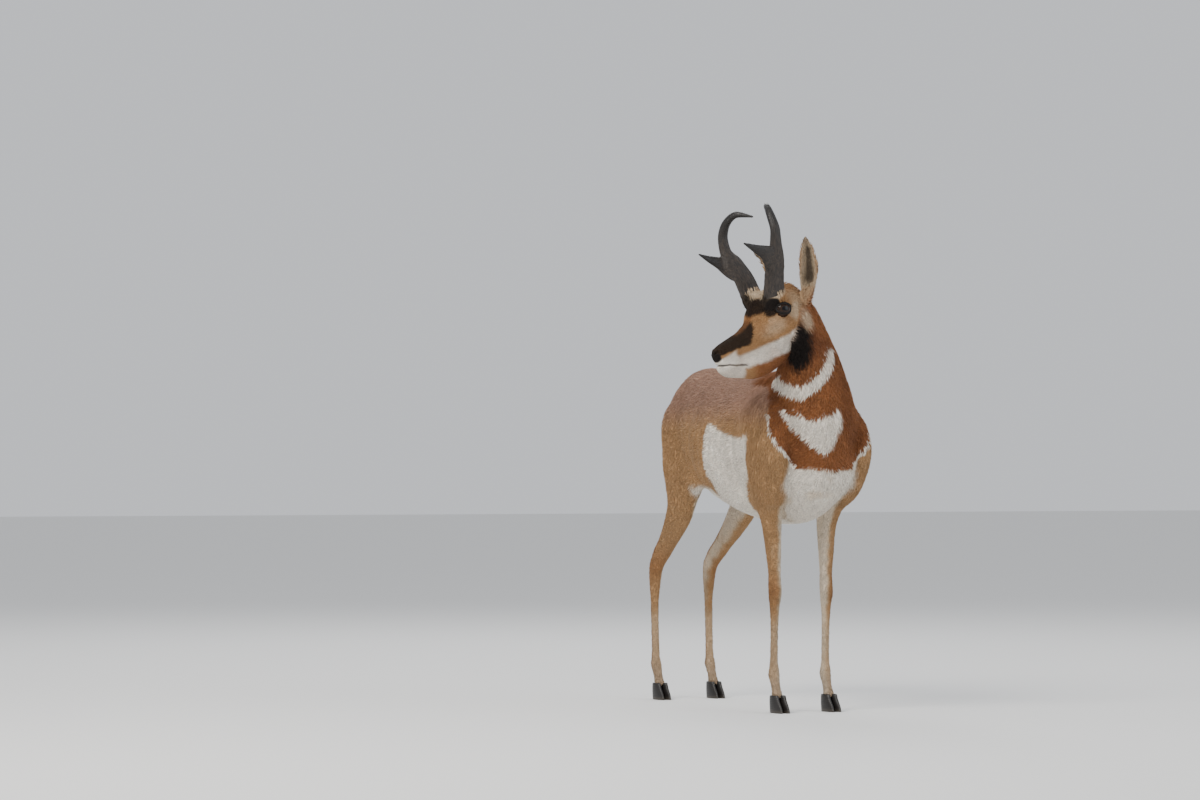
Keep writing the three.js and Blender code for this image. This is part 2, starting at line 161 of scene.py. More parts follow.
def through(marks, values, places):
    """Rows of values at the places, on a cubic that runs through the values at the marks.

    Its slope at a mark is the harmonic mean of the rises on either side, or flat where they differ in
    sign, so that it never overshoots. Beyond the ends it keeps the end value."""
    rise = np.diff(values, axis=0) / np.diff(marks)[:, None]
    same = rise[:-1] * rise[1:] > 0
    inner = np.where(same, 2 * rise[:-1] * rise[1:] / np.where(same, rise[:-1] + rise[1:], 1), 0)
    slope = np.vstack([rise[:1], inner, rise[-1:]])
    k = np.clip(np.searchsorted(marks, places, side="right") - 1, 0, len(marks) - 2)
    span = (marks[k + 1] - marks[k])[:, None]
    s = np.clip((places - marks[k])[:, None] / span, 0, 1)
    ease = s * s * (3 - 2 * s)
    swing = span * s * (1 - s) * (slope[k] * (1 - s) - slope[k + 1] * s)
    return values[k] * (1 - ease) + values[k + 1] * ease + swing


def unit(v):
    """The rows of v at length 1."""
    return v / np.maximum(np.linalg.norm(v, axis=-1, keepdims=True), 1e-12)


def stations(sections, places, up=(0, 0, 1), along=None):
    """Centres, frames and half sizes at the places, each from 0 to 1, on the path through the sections.

    The frame is ahead, high and side: ahead runs along the path, or is the direction given, high is the
    up direction swung by the section's turn and squared to it, and side is square to both."""
    rows = np.array([list(row) + [0.0] * (7 - len(row)) for row in sections], float)
    marks = np.append(0, np.cumsum(np.linalg.norm(np.diff(rows[:, :3], axis=0), axis=1)))
    t = np.asarray(places) * marks[-1]
    value = through(marks, rows, t)
    step = marks[-1] * 1e-3
    ahead = unit(through(marks, rows[:, :3], t + step) - through(marks, rows[:, :3], t - step))
    if along is not None:
        ahead = np.tile(np.array(along, float), (len(t), 1))
    turn = np.radians(value[:, 6])
    up = np.array(up, float)
    high = np.stack([up[0] * np.cos(turn) - up[1] * np.sin(turn),
                     up[0] * np.sin(turn) + up[1] * np.cos(turn), up[2] + turn * 0], 1)
    high = unit(high - (high * ahead).sum(1, keepdims=True) * ahead)
    return value[:, :3], ahead, high, np.cross(high, ahead), value[:, 3:6]


CAP_RINGS = 5


def swept(sections, coat, around=32, rows=60, round_ends=(10, 10), up=(0, 0, 1), along=None):
    """Points and faces of a closed body: an ellipse in each station's frame, smaller than the section
    by the room for the coat, with a quarter-circle cap at both ends. The upper and lower halves differ."""
    cap = np.linspace(0, np.pi / 2, CAP_RINGS + 1)[1:]
    places = np.concatenate([np.zeros(CAP_RINGS), np.linspace(0, 1, rows), np.ones(CAP_RINGS)])
    past = np.concatenate([-np.sin(cap[::-1]), np.zeros(rows), np.sin(cap)])
    scale = np.concatenate([np.cos(cap[::-1]), np.ones(rows), np.cos(cap)])
    scale[[0, -1]] = 1e-3
    centre, ahead, high, side, half = stations(sections, places, up, along)
    half = np.maximum(half - coat, 1.5) * scale[:, None]
    reach = np.where(past < 0, round_ends[0], round_ends[1]) - min(coat, min(round_ends) * 0.5)
    angle = np.linspace(0, 2 * np.pi, around, endpoint=False)
    c, s = np.cos(angle)[None, :, None], np.sin(angle)[None, :, None]
    rise = np.where(s > 0, half[:, None, 1:2], half[:, None, 2:3])
    points = (centre + ahead * (past * reach)[:, None])[:, None] + side[:, None] * c * half[:, None, :1]
    points = (points + high[:, None] * s * rise).reshape(-1, 3)
    n = len(places)
    ring = np.arange(around)
    a = (np.arange(n - 1)[:, None] * around + ring).ravel()
    b = (np.arange(n - 1)[:, None] * around + (ring + 1) % around).ravel()
    faces = np.stack([a, b, b + around, a + around], 1).tolist()
    faces += [ring[::-1].tolist(), (ring + (n - 1) * around).tolist()]
    return points, faces


def head_to_body(points, pitched=True):
    """Turns points of the level head, nose to -Y and the origin midway between the eyes, into place."""
    c, s = np.cos(HEAD_PITCH), np.sin(HEAD_PITCH)
    if pitched:
        points = points @ np.array([[1, 0, 0], [0, c, -s], [0, s, c]]).T
    c, s = np.cos(HEAD_TURN), np.sin(HEAD_TURN)
    return points @ np.array([[c, -s, 0], [s, c, 0], [0, 0, 1]]).T + HEAD_AT


def body_to_head(points, pitched=True):
    """The way back: points of the body as the level head sees them."""
    c, s = np.cos(HEAD_TURN), np.sin(HEAD_TURN)
    points = (points - HEAD_AT) @ np.array([[c, -s, 0], [s, c, 0], [0, 0, 1]])
    if not pitched:
        return points
    c, s = np.cos(HEAD_PITCH), np.sin(HEAD_PITCH)
    return points @ np.array([[1, 0, 0], [0, c, -s], [0, s, c]])


def mirrored(sections, side):
    """The left side's sections as they are for side 1, or turned over to the right for side -1."""
    return [[side * row[0], *row[1:]] for row in sections]


def tube_faces(rings, around):
    """Quads between rings of points, each ring following the last in the list."""
    first = np.arange(rings - 1)[:, None] * around
    step = np.arange(around)
    after = (step + 1) % around
    return np.stack([first + step, first + around + step, first + around + after, first + after], 2)


def mesh_object(name, points, faces):
    """A mesh object at the origin from points in the body's millimetres."""
    mesh = bpy.data.meshes.new(name)
    mesh.from_pydata((points * MM + ORIGIN).tolist(), [], faces)
    mesh.update()
    made = bpy.data.objects.new(name, mesh)
    bpy.context.scene.collection.objects.link(made)
    return made


UPRIGHT = dict(up=(0, 1, 0))
# Each form: its sections, the room left for the coat, points round it and rows along it, how far its
# ends bulge, its frame, its pose and which way its hair lies along the path. A pose of True turns and
# pitches with the head, False only turns with it, and None stays with the body.
Form = namedtuple("Form", "sections coat around rows ends way pitched lie")
FORMS = [
    Form(TRUNK, 7.5, 48, 90, (2, 30), dict(up=(0, 0, 1), along=(0, 1, 0)), None, 1),
    Form(NECK, 5.5, 40, 60, (20, 25), UPRIGHT, None, -1),
    Form(TAIL, 5, 16, 30, (10, 10), UPRIGHT, None, 1),
    Form(SKULL, 4, 40, 70, (9, 24), {}, True, 1),
    Form(JAW, 2.5, 40, 70, (9, 22), {}, True, 1),
]
for side in (1, -1):
    FORMS += [
        Form(mirrored(FORELEG, side), 3.5, 28, 110, (16, 3), UPRIGHT, None, 1),
        Form(mirrored(HINDLEG, side), 3.5, 28, 110, (16, 3), UPRIGHT, None, 1),
        Form(ear_sections(side), 1.2, 20, 40, (6, 4), dict(up=(-side * 0.5, 0.85, 0)), False, 1),
    ]
for side in (1, -1):
    FORMS.append(Form(mirrored(HORN_CORE, side), 3, 24, 20, (8, 4), UPRIGHT, False, 1))
FORM_TRUNK, FORM_NECK, FORM_TAIL, FORM_SKULL, FORM_JAW = range(5)
FORM_FORELEGS, FORM_HINDLEGS, FORM_EARS, FORM_CORES = (5, 8), (6, 9), (7, 10), (11, 12)  # left, right
parts = []
for form in FORMS:
    points, faces = swept(form.sections, form.coat, form.around, form.rows, form.ends, **form.way)
    parts.append((points if form.pitched is None else head_to_body(points, form.pitched), faces))
starts = np.cumsum([0] + [len(points) for points, _ in parts])
all_points = np.concatenate([points for points, _ in parts])
all_faces = [[i + start for i in face] for (_, faces), start in zip(parts, starts) for face in faces]
skin = mesh_object("skin", all_points, all_faces)


def applied(obj, kind, **settings):
    """Adds one modifier to the object with its settings and applies it."""
    modifier = obj.modifiers.new(kind.lower(), kind)
    for key, value in settings.items():
        setattr(modifier, key, value)
    bpy.context.view_layer.objects.active = obj
    bpy.ops.object.modifier_apply(modifier=modifier.name)


def positions(mesh):
    """The mesh's points in the body's millimetres."""
    flat = np.empty(len(mesh.vertices) * 3, np.float32)
    mesh.vertices.foreach_get("co", flat)
    return (flat.reshape(-1, 3).astype(float) - ORIGIN) / MM


def normals_of(mesh):
    flat = np.empty(len(mesh.vertices) * 3, np.float32)
    mesh.vertices.foreach_get("normal", flat)
    return flat.reshape(-1, 3).astype(float)


def move_to(mesh, points):
    """Sets the mesh's points from the body's millimetres."""
    mesh.vertices.foreach_set("co", (points * MM + ORIGIN).astype(np.float32).ravel())
    mesh.update()


def shade_smooth(mesh):
    mesh.polygons.foreach_set("use_smooth", np.ones(len(mesh.polygons), bool))


def edge_ends(mesh):
    """The first and the second point of every edge."""
    flat = np.empty(len(mesh.edges) * 2, np.int32)
    mesh.edges.foreach_get("vertices", flat)
    return flat.reshape(-1, 2).T


def eased(values, ends, weight, rounds):
    """Moves each row of values by its weight towards the mean of its neighbours, round after round."""
    a, b = ends
    count = np.maximum(np.bincount(a, minlength=len(values)) + np.bincount(b, minlength=len(values)), 1)
    for _ in range(rounds):
        mean = np.stack([
            (np.bincount(a, column[b], len(values)) + np.bincount(b, column[a], len(values))) / count
            for column in values.T
        ], 1)
        values = values + weight[:, None] * (mean - values)
    return values


def smooth(low, high, x):
    """0 below low and 1 above high, with the cubic ease between; it falls where low is above high."""
    s = np.clip((x - low) / (high - low), 0, 1)
    return s * s * (3 - 2 * s)


CHUNK = 20000  # points looked at together, to keep the memory small


def near_form(points, form, samples=90):
    """How near the points are to a form: distance over its mean radius, and where on its path they are
    nearest, with the path's three directions and its centre there."""
    places = np.linspace(0, 1, samples)
    centre, ahead, high, side, half = stations(form.sections, places, **form.way)
    if form.pitched is not None:
        turned = [head_to_body(v, form.pitched) - HEAD_AT for v in (ahead, high, side)]
        centre, (ahead, high, side) = head_to_body(centre, form.pitched), turned
    radius = half.mean(1)
    ratio = np.empty(len(points))
    which = np.empty(len(points), int)
    for start in range(0, len(points), CHUNK):
        chunk = points[start:start + CHUNK]
        squares = (chunk ** 2).sum(1)[:, None] + (centre ** 2).sum(1) - 2 * chunk @ centre.T
        far = np.sqrt(np.maximum(squares, 0)) / radius
        which[start:start + CHUNK] = far.argmin(1)
        ratio[start:start + CHUNK] = far.min(1)
    return ratio, places[which], ahead[which], high[which], side[which], centre[which]


# The forms become one skin. The trunk and neck are eased most, so that no form's edge shows on them,
# the head less, the legs least, and the thin ears not at all.
applied(skin, "REMESH", mode="VOXEL", voxel_size=0.0034)
points = positions(skin.data)
ends = edge_ends(skin.data)
on_head = body_to_head(points)
head_turned = body_to_head(points, pitched=False)
head_part = smooth(150, 95, np.linalg.norm((on_head - [0, -60, -45]) / [1, 1.35, 1], axis=1))
is_ear = (head_turned[:, 2] > 52) & (head_turned[:, 1] > 30)
broad = smooth(430, 560, points[:, 2]) * (1 - head_part) * smooth(990, 960, points[:, 2])
points = eased(points, ends, 0.5 * broad, 60)
points = eased(points, ends, 0.5 * np.clip(head_part, 0.25, 1) * ~is_ear, 4)

# Muscle and bone under the skin. Each row is a soft swelling or, below 0, a hollow on both sides of the
# body: x, y, z of its middle, its reach along x, y and z, and its height. The last fills the throat.
MUSCLES = [
    [112, -225, 715, 70, 34, 80, 5], [140, -128, 640, 70, 15, 110, -6], [100, -300, 640, 60, 40, 60, 4],
    [135, 122, 640, 70, 20, 100, -6], [125, 105, 742, 60, 50, 42, -7], [105, 245, 690, 70, 60, 80, 5],
    [72, 205, 838, 34, 26, 20, 6], [60, 330, 770, 50, 40, 50, 3], [100, 150, 600, 60, 24, 40, 4],
    [96, -250, 560, 40, 50, 34, 4], [73, -222, 316, 14, 9, 16, 4], [73, -262, 306, 14, 9, 18, 2.5],
    [80, 440, 372, 12, 14, 20, 5], [92, 418, 398, 9, 12, 34, -3], [68, 418, 398, 9, 12, 34, -3],
    [73, -222, 94, 14, 8, 10, 2.5], [80, 424, 92, 14, 8, 10, 2.5], [88, 268, 470, 20, 26, 44, 3],
    [84, -285, 864, 26, 34, 26, 9],
]
FACE_BONES = [
    [50, 6, 25, 14, 24, 10, 4], [46, -32, -10, 14, 12, 10, -3], [46, -8, -76, 26, 40, 34, 4],
    [36, -78, -62, 20, 30, 12, -3], [26, -110, -26, 14, 34, 10, 2.5],
]


def swellings(points, rows):
    """The sum of the rows' heights, each fading as a bell with the distance over its reach."""
    total = np.zeros(len(points))
    folded = points.copy()
    folded[:, 0] = np.abs(folded[:, 0])
    for row in np.array(rows):
        total += row[6] * np.exp(-(((folded - row[:3]) / row[3:6]) ** 2).sum(1))
    return total


def leg_tendons(points):
    """A groove along both sides of each cannon, between the bone in front and the tendon behind."""
    total = np.zeros(len(points))
    for x, y in (FORE_FOOT, HIND_FOOT):
        beside = np.abs(np.abs(points[:, 0]) - x)
        shin = smooth(110, 140, points[:, 2]) * smooth(275, 235, points[:, 2])
        line = np.exp(-((points[:, 1] - y - 4) / 3.2) ** 2)
        total -= 1.7 * shin * line * smooth(3, 7, beside) * (beside < 22)
    return total


x, y, z = points.T
ribs = 1.3 * np.sin(2 * np.pi * (y + 0.25 * (z - 650)) / 31) * smooth(-110, -80, y) * smooth(110, 60, y)
ribs *= smooth(540, 590, z) * smooth(775, 730, z) * smooth(90, 120, np.abs(x))
raised = swellings(points, MUSCLES) + leg_tendons(points) + ribs
points = points + normals_of(skin.data) * (raised * (1 - head_part))[:, None]
points += normals_of(skin.data) * (swellings(on_head, FACE_BONES) * head_part * ~is_ear)[:, None]
move_to(skin.data, points)

# The head and ears keep their fine mesh, and the rest is thinned out.
THIN_STEPS = 10
group = skin.vertex_groups.new(name="broad")
thin_out = smooth(0.2, 0.8, np.clip(1 - head_part, 0, 1)) * ~is_ear
for level in range(1, THIN_STEPS + 1):
    members = np.where(np.ceil(thin_out * THIN_STEPS) == level)[0].tolist()
    group.add(members, level / THIN_STEPS, "REPLACE")
applied(skin, "DECIMATE", ratio=0.36, vertex_group="broad")
skin.vertex_groups.clear()

# The face: bare lids close round each eyeball in an almond, the lips meet along a soft groove, and the
# nostrils are slits that curve back on either side of the nose. The mesh is made finer there first.
LOOK = np.array([0.95, -0.3, 0.08]) / np.linalg.norm([0.95, -0.3, 0.08])
ALMOND = (22.0, 10.5, 11.5)  # half length, below and above, measured over the eyeball
MOUTH = np.array([[-216, -37], [-202, -44], [-180, -56], [-160, -68], [-150, -74], [-140, -79]])  # y, z
NOSTRIL = np.array([15.0, -207.0, -6.0])


def eye_frame(side):
    """The eyeball's centre in the body, and the ways it looks, lies along and stands up."""
    look = LOOK * [side, 1, 1]
    along = unit(np.cross([0, 0, 1], look))
    axes = np.stack([look, along, np.cross(look, along)])
    return head_to_body(EYE_AT * [side, 1, 1], False), head_to_body(axes, False) - HEAD_AT


def over_eye(points, side):
    """How far out from the almond's middle the points lie, 1 at its edge, with their distance and
    direction from the eyeball's centre. Lengths run over the ball, so the edge is an ellipse on it."""
    centre, (look, along, rise) = eye_frame(side)
    away = points - centre
    far = np.linalg.norm(away, axis=1)
    turn = np.arccos(np.clip(away @ look / np.maximum(far, 1e-9), -1, 1)) * EYE_R
    flat = unit(np.stack([away @ along, away @ rise], 1)) * turn[:, None]
    high = np.where(flat[:, 1] > 0, ALMOND[2], ALMOND[1])
    return np.hypot(flat[:, 0] / ALMOND[0], flat[:, 1] / high), far, away


def finer(obj, wanted, cuts):
    """Cuts the faces whose middles are wanted into smaller ones."""
    mesh = bmesh.new()
    mesh.from_mesh(obj.data)
    middles = np.array([face.calc_center_median()[:] for face in mesh.faces])
    chosen = wanted((middles - ORIGIN) / MM)
    edges = {edge for face, use in zip(mesh.faces, chosen) if use for edge in face.edges}
    bmesh.ops.subdivide_edges(mesh, edges=list(edges), cuts=cuts, use_grid_fill=True)
    mesh.to_mesh(obj.data)
    mesh.free()


def fine_face(middles):
    """Whether the places are near an eye or on the muzzle."""
    eyes = [np.linalg.norm(middles - eye_frame(side)[0], axis=1) < 37 for side in (1, -1)]
    muzzle = body_to_head(middles)
    return eyes[0] | eyes[1] | ((muzzle[:, 1] < -136) & (np.abs(muzzle[:, 0]) < 60))


finer(skin, fine_face, 2)
points = positions(skin.data)
ends = edge_ends(skin.data)
points = eased(points, ends, 0.6 * fine_face(points), 6)
move_to(skin.data, points)
normals = normals_of(skin.data)
on_head = body_to_head(points)
lips = np.interp(on_head[:, 1], MOUTH[:, 0], MOUTH[:, 1])
beside = (on_head[:, 2] - lips) * 0.9
muzzle_side = smooth(-134, -146, on_head[:, 1]) * (np.abs(on_head[:, 0]) < 50)
groove = -3.2 * np.exp(-(beside / 1.7) ** 2) + 1.3 * np.exp(-((np.abs(beside) - 5.5) / 3.4) ** 2)
nose_rim = np.zeros(len(points))
for side in (1, -1):
    slit = on_head - NOSTRIL * [side, 1, 1]
    run = slit[:, 1] - 0.5 * slit[:, 2]
    bow = slit[:, 2] + 0.55 * slit[:, 1] - 0.02 * run ** 2
    near = (on_head[:, 0] * side > 2) * (on_head[:, 1] < -186)
    reach = np.hypot(run / 9.5, bow / 4.2)
    nose_rim += near * (1.6 * np.exp(-((reach - 1.5) / 0.5) ** 2) - 6.5 * np.exp(-(reach / 0.95) ** 2))
points = points + normals * (groove * muzzle_side + nose_rim)[:, None]
for side in (1, -1):
    edge, far, away = over_eye(points, side)
    inside = (far < 60) & (edge < 1.15)
    rim = (far < 60) * (1 - smooth(1.35, 2.3, edge)) * (edge >= 1.15)
    wanted = np.where(inside, EYE_R * 0.82, np.maximum(far, far + rim * (EYE_R + 1.6 - far)))
    points += away * (wanted / np.maximum(far, 1e-9) - 1)[:, None] * (far < 60)[:, None]
move_to(skin.data, points)

# The cup of each ear, which a pronghorn can turn to any side and holds upright when alert. The front
# of the leaf is pressed back to within a few millimetres of its back.
EAR_WALL = 4.0
for index in FORM_EARS:
    ratio, place, ahead, high, across, centre = near_form(points, FORMS[index], 60)
    half = stations(FORMS[index].sections, place, **FORMS[index].way)[-1]
    away = points - centre
    front = -(away * high).sum(1)
    width = (away * across).sum(1) / np.maximum(half[:, 0], 1)
    hollow = smooth(0.16, 0.34, place) * smooth(0.97, 0.82, place)
    hollow *= 1 - smooth(0.55, 0.9, np.abs(width))
    pressed = hollow * (front > 0) * (ratio < 1.7) * (front + half[:, 1] - EAR_WALL)
    points += high * np.maximum(pressed, 0)[:, None] * 0.9
move_to(skin.data, points)
shade_smooth(skin.data)

# The materials of hair, wet eye, bare lid, horn and hoof. Each is one Principled surface whose colour,
# roughness and relief come from procedural nodes.


class Socket:
    """A node's output that adds and multiplies as a number does."""

    def __init__(self, shader, socket):
        self.shader = shader
        self.socket = socket

    def math(self, operation, other):
        return self.shader.node("Math", {"operation": operation}, {0: self, 1: other})

    def __add__(self, other):
        return self.math("ADD", other)

    def __mul__(self, other):
        return self.math("MULTIPLY", other)

    def between(self, low, high):
        """0 where this is at most low and 1 where it is at least high, with a soft step between."""
        inputs = {"Value": self, "From Min": low, "From Max": high, "To Min": 0.0, "To Max": 1.0}
        return self.shader.node("MapRange", {"interpolation_type": "SMOOTHSTEP"}, inputs)


class Shader:
    """A material. Every node is made with its settings first and then its inputs' values and links."""

    def __init__(self, name, colour, roughness, **fixed):
        self.material = bpy.data.materials.new(name)
        self.material.use_nodes = True
        self.tree = self.material.node_tree
        self.surface = self.tree.nodes["Principled BSDF"]
        self.set("Base Color", (*colour, 1.0))
        self.set("Roughness", roughness)
        for key, value in fixed.items():
            self.set(key.replace("_", " "), value)

    def node(self, kind, settings=None, inputs=None, output=0):
        made = self.tree.nodes.new("ShaderNode" + kind)
        for key, value in (settings or {}).items():
            setattr(made, key, value)
        for key, value in (inputs or {}).items():
            self.fill(made.inputs[key], value)
        return Socket(self, made.outputs[output])

    def fill(self, slot, value):
        if isinstance(value, Socket):
            self.tree.links.new(value.socket, slot)
        else:
            slot.default_value = value

    def set(self, name, value):
        self.fill(self.surface.inputs[name], value)

    def blend(self, factor, first, second):
        """The first colour where the factor is 0 and the second where it is 1."""
        return self.node("Mix", {"data_type": "RGBA"}, {0: factor, 6: first, 7: second}, 2)

    def noise(self, place, scale, detail=3.0):
        return self.node("TexNoise", {}, {"Vector": place, "Scale": scale, "Detail": detail})

    def relief(self, height, strength, distance):
        bump = {"Height": height, "Strength": strength, "Distance": distance}
        self.set("Normal", self.node("Bump", {}, bump))


def linear(code):
    """The linear colour of a six-figure sRGB code."""
    value = np.array([int(code[i:i + 2], 16) for i in (0, 2, 4)]) / 255
    return np.where(value < 0.04045, value / 12.92, ((value + 0.055) / 1.055) ** 2.4)


def wander(points, size, seed):
    """Smooth noise from -1 to 1: a random value at each corner of a grid of cubes of the size, eased
    from one corner to the next."""
    cell = points / size
    corner = np.floor(cell)
    ease = cell - corner
    ease = ease * ease * (3 - 2 * ease)
    total = np.zeros(len(points))
    for step in np.ndindex(2, 2, 2):
        draw = np.sin((corner + step) @ [127.1, 311.7, 74.7] + seed * 53.3) * 43758.5453
        total += (draw - np.floor(draw)) * np.prod(np.where(step, ease, 1 - ease), axis=1)
    return total * 2 - 1


# The coat's markings, as a buck in summer coat wears them: tan above, the top pinkish grey in part as
# painted sky light, with white flanks, belly, rump and chest, two white bands across a rust throat, a dark
# muzzle and brow, white cheeks and a black patch below each ear. The skin and every tuft of hair take
# their colour from this one function.
COLOURS = {name: linear(code) for name, code in {
    "back": "a1806d", "side": "ab8862", "rust": "8c5c3a", "deep": "68412a", "white": "e8e0d4",
    "cream": "cfbda3", "black": "1a1310", "ochre": "a9825a", "orange": "93653f", "grey": "9c8b7b",
    "skin": "4a3830",
}.items()}


def painter(colour):
    """A brush for rows of colours: it moves them towards a named colour by amounts from 0 to 1."""
    def paint(name, amount):
        colour[:] += np.clip(amount, 0, 1)[:, None] * (COLOURS[name] - colour)

    return paint


class Place:
    """What the points are near: for each form the distance over its radius, the place along it, the
    way its hair lies there, and how far the point is round it, towards its high and side directions."""

    def __init__(self, points, normals):
        self.points = points
        found = [near_form(points, form) for form in FORMS]
        self.ratio = np.stack([row[0] for row in found], 1)
        self.along = np.stack([row[1] for row in found], 1)
        self.lie = np.stack([row[2] * form.lie for row, form in zip(found, FORMS)], 1)
        away = [unit(points - row[5]) for row in found]
        self.high = np.stack([(a * row[3]).sum(1) for a, row in zip(away, found)], 1)
        self.side = np.stack([(a * row[4]).sum(1) for a, row in zip(away, found)], 1)
        self.facing = np.stack([(normals * row[3]).sum(1) for row in found], 1)
        self.form = self.ratio.argmin(1)
        self.head = body_to_head(points)
        self.level = body_to_head(points, False)
        face = np.minimum(self.ratio[:, FORM_SKULL], self.ratio[:, FORM_JAW])
        body = np.minimum(self.ratio[:, FORM_NECK], self.ratio[:, FORM_TRUNK] + 0.3)
        self.on_head = smooth(0.1, -0.1, face - body)
        self.on_ear = np.maximum(*[smooth(0.25, 0.0, self.ratio[:, k] - 1.0) for k in FORM_EARS])
        self.on_ear *= smooth(40, 58, self.level[:, 2])


def spot(points, centre, radii, edge=0.25):
    """1 inside an ellipsoid and 0 outside, with an edge that is soft over that share of its radii."""
    return smooth(1 + edge, 1 - edge, np.linalg.norm((points - centre) / radii, axis=1))


def body_colour(place):
    """The trunk's, neck's, legs' and tail's colours. Edges of the markings are lines through a few places
    along y, z or an angle, and every edge wavers by a few millimetres, as hair makes it."""
    x, y, z = (place.points + 3 * np.stack([wander(place.points, 12, seed) for seed in (1, 2, 3)], 1)).T
    side = np.sign(place.points[:, 0])
    colour = np.tile(COLOURS["side"], (len(x), 1))
    paint = painter(colour)
    # The top of the trunk turns pinkish grey: partly the back's own darker tan, partly painted sky light
    # on the upper surface.
    paint("back", smooth(700, 790, z))
    nearest_leg = place.ratio[:, FORM_FORELEGS + FORM_HINDLEGS].min(1)
    leg = smooth(0.12, -0.12, nearest_leg - place.ratio[:, FORM_TRUNK]) * smooth(640, 560, z)

    # The white of the flank has a top, a rear and a front edge, and runs down into the belly's.
    flank = smooth(3, -9, z - np.interp(y, [-233, -157, -83, -14, 60], [698, 690, 706, 728, 700]))
    flank *= smooth(7, -7, y - np.interp(z, [500, 567, 618, 669, 732], [30, 9, 24, 4, -12]))
    flank *= smooth(-6, 6, y - np.interp(z, [480, 529, 592, 655, 717], [-135, -151, -190, -243, -252]))
    paint("white", flank * (1 - leg))
    belly_top = np.interp(y, [-300, -200, 0, 40, 200, 330], [520, 500, 520, 560, 572, 600])
    belly = smooth(6, -14, z - belly_top)
    paint("white", belly * (1 - leg))
    paint("white", spot(place.points, [0, 398, 716], [88, 62, 104], 0.12) * (y > 250))

    # The front: a rust bib that ends in a rounded edge over a white chest, with a white rim at the
    # shoulders. The angle turn runs from the front round to the sides.
    turn = np.degrees(np.arctan2(np.abs(x), -(y + 230)))
    bib = np.interp(turn, [0, 27, 36, 43, 53, 57, 63, 76, 100, 180],
                    [605, 612, 632, 667, 712, 748, 780, 804, 816, 826])
    chest = np.interp(z, [500, 518, 543, 580, 630, 655], [78, 68, 53, 42, 36, 32])
    front = smooth(-195, -215, y)
    paint("white", front * smooth(3, -3, z - bib) * smooth(2.5, -2.5, turn - chest) * (1 - leg))
    clouded = smooth(0.1, 0.6, wander(place.points, 34, 7))
    paint("cream", 0.5 * front * (z < bib) * clouded * (turn < chest))
    paint("white", front * smooth(14, 9, bib - z) * (z < bib) * (turn > 30) * (turn < 58))
    throat = smooth(-2, 3, z - bib) * smooth(-120, -175, y - (z - 800) * 0.4)
    paint("rust", throat)
    paint("deep", throat * 0.45 * smooth(-0.3, 0.9, wander(place.points, 46, 9)))

    # The throat's bands follow the angle round the neck, which turns with the head as it rises.
    spine = np.array(NECK)[:, :3]
    axis_x, axis_y = (np.interp(z, spine[:, 2], spine[:, k]) for k in (0, 1))
    throat_line = np.interp(z, [600, 650, 740, 790, 860, 925, 990], [0, 8, 26, 42, 50, 58, 68])
    angle = np.degrees(np.arctan2(axis_x - x, axis_y - y)) - throat_line
    on_neck = throat * (1 - place.on_head)
    low = np.interp(angle, [-95, -84, -33, 0, 35, 70, 100], [905, 890, 815, 780, 796, 817, 840])
    thick = 29 * smooth(100, 60, np.abs(angle + 4)) + 2
    band = smooth(-3, 2, z - low) * smooth(2, -3, z - low - thick) * (np.abs(angle) < 100)
    paint("white", on_neck * band)
    top = 728 + 0.75 * np.abs(angle)
    half = 40 * np.clip((z - 645) / 105, 0, 1) ** 0.75
    shield = smooth(2, -3, z - top) * smooth(2.5, -2.5, np.abs(angle) - half) * (z > 640)
    paint("white", on_neck * shield)
    # Deeper brown high on the front of the throat: partly the throat's own brown, partly painted shade
    # under the jaw.
    upper = smooth(838, 905, z - np.abs(angle) * 0.3) * smooth(100, 50, np.abs(angle))
    paint("deep", on_neck * 0.8 * upper)

    # The black patch below the ear, and the cream in front of it.
    level = place.level.copy()
    level[:, 0] = np.abs(level[:, 0])
    patch = spot(level + wander(place.points, 9, 4)[:, None] * 4, [56, 50, -94], [42, 44, 64], 0.25)
    paint("black", patch * (1 - place.on_head * 0.8))
    paint("cream", 0.6 * spot(level, [64, 84, -18], [18, 16, 34], 0.5) * (1 - place.on_head))

    # The legs are tan outside and cream within, rusty at the knees, with a brown streak down each heel.
    inner = side * x - np.interp(z, [40, 300, 450, 520, 620], [76, 77, 80, 90, 84])
    down = smooth(600, 520, z)
    paint("side", leg * 0.8)
    paint("cream", leg * down * smooth(-1, -14, inner) * 0.85)
    paint("white", leg * down * smooth(-6, -18, inner) * 0.4)
    paint("cream", leg * smooth(260, 200, z) * 0.4)
    knee = np.exp(-((z - np.where(y < 100, 305, 352)) / 42) ** 2)
    paint("orange", leg * knee * smooth(-12, 6, inner) * 0.55)
    leg_back = np.interp(z, [60, 310, 350, 405, 462, 520], [392, 420, 418, 360, 302, 268])
    heel = smooth(6, 18, y - leg_back)
    paint("rust", leg * heel * (y > 100) * smooth(560, 470, z) * 0.6)
    paint("grey", leg * smooth(130, 60, z) * 0.45)
    tail = smooth(0.1, -0.1, place.ratio[:, FORM_TAIL] - 1.1) * smooth(370, 400, y)
    paint("white", tail)
    dock = smooth(0.86, 0.97, place.high[:, FORM_TAIL]) * smooth(0.9, 0.5, place.along[:, FORM_TAIL])
    paint("rust", tail * dock * 0.8)
    return colour


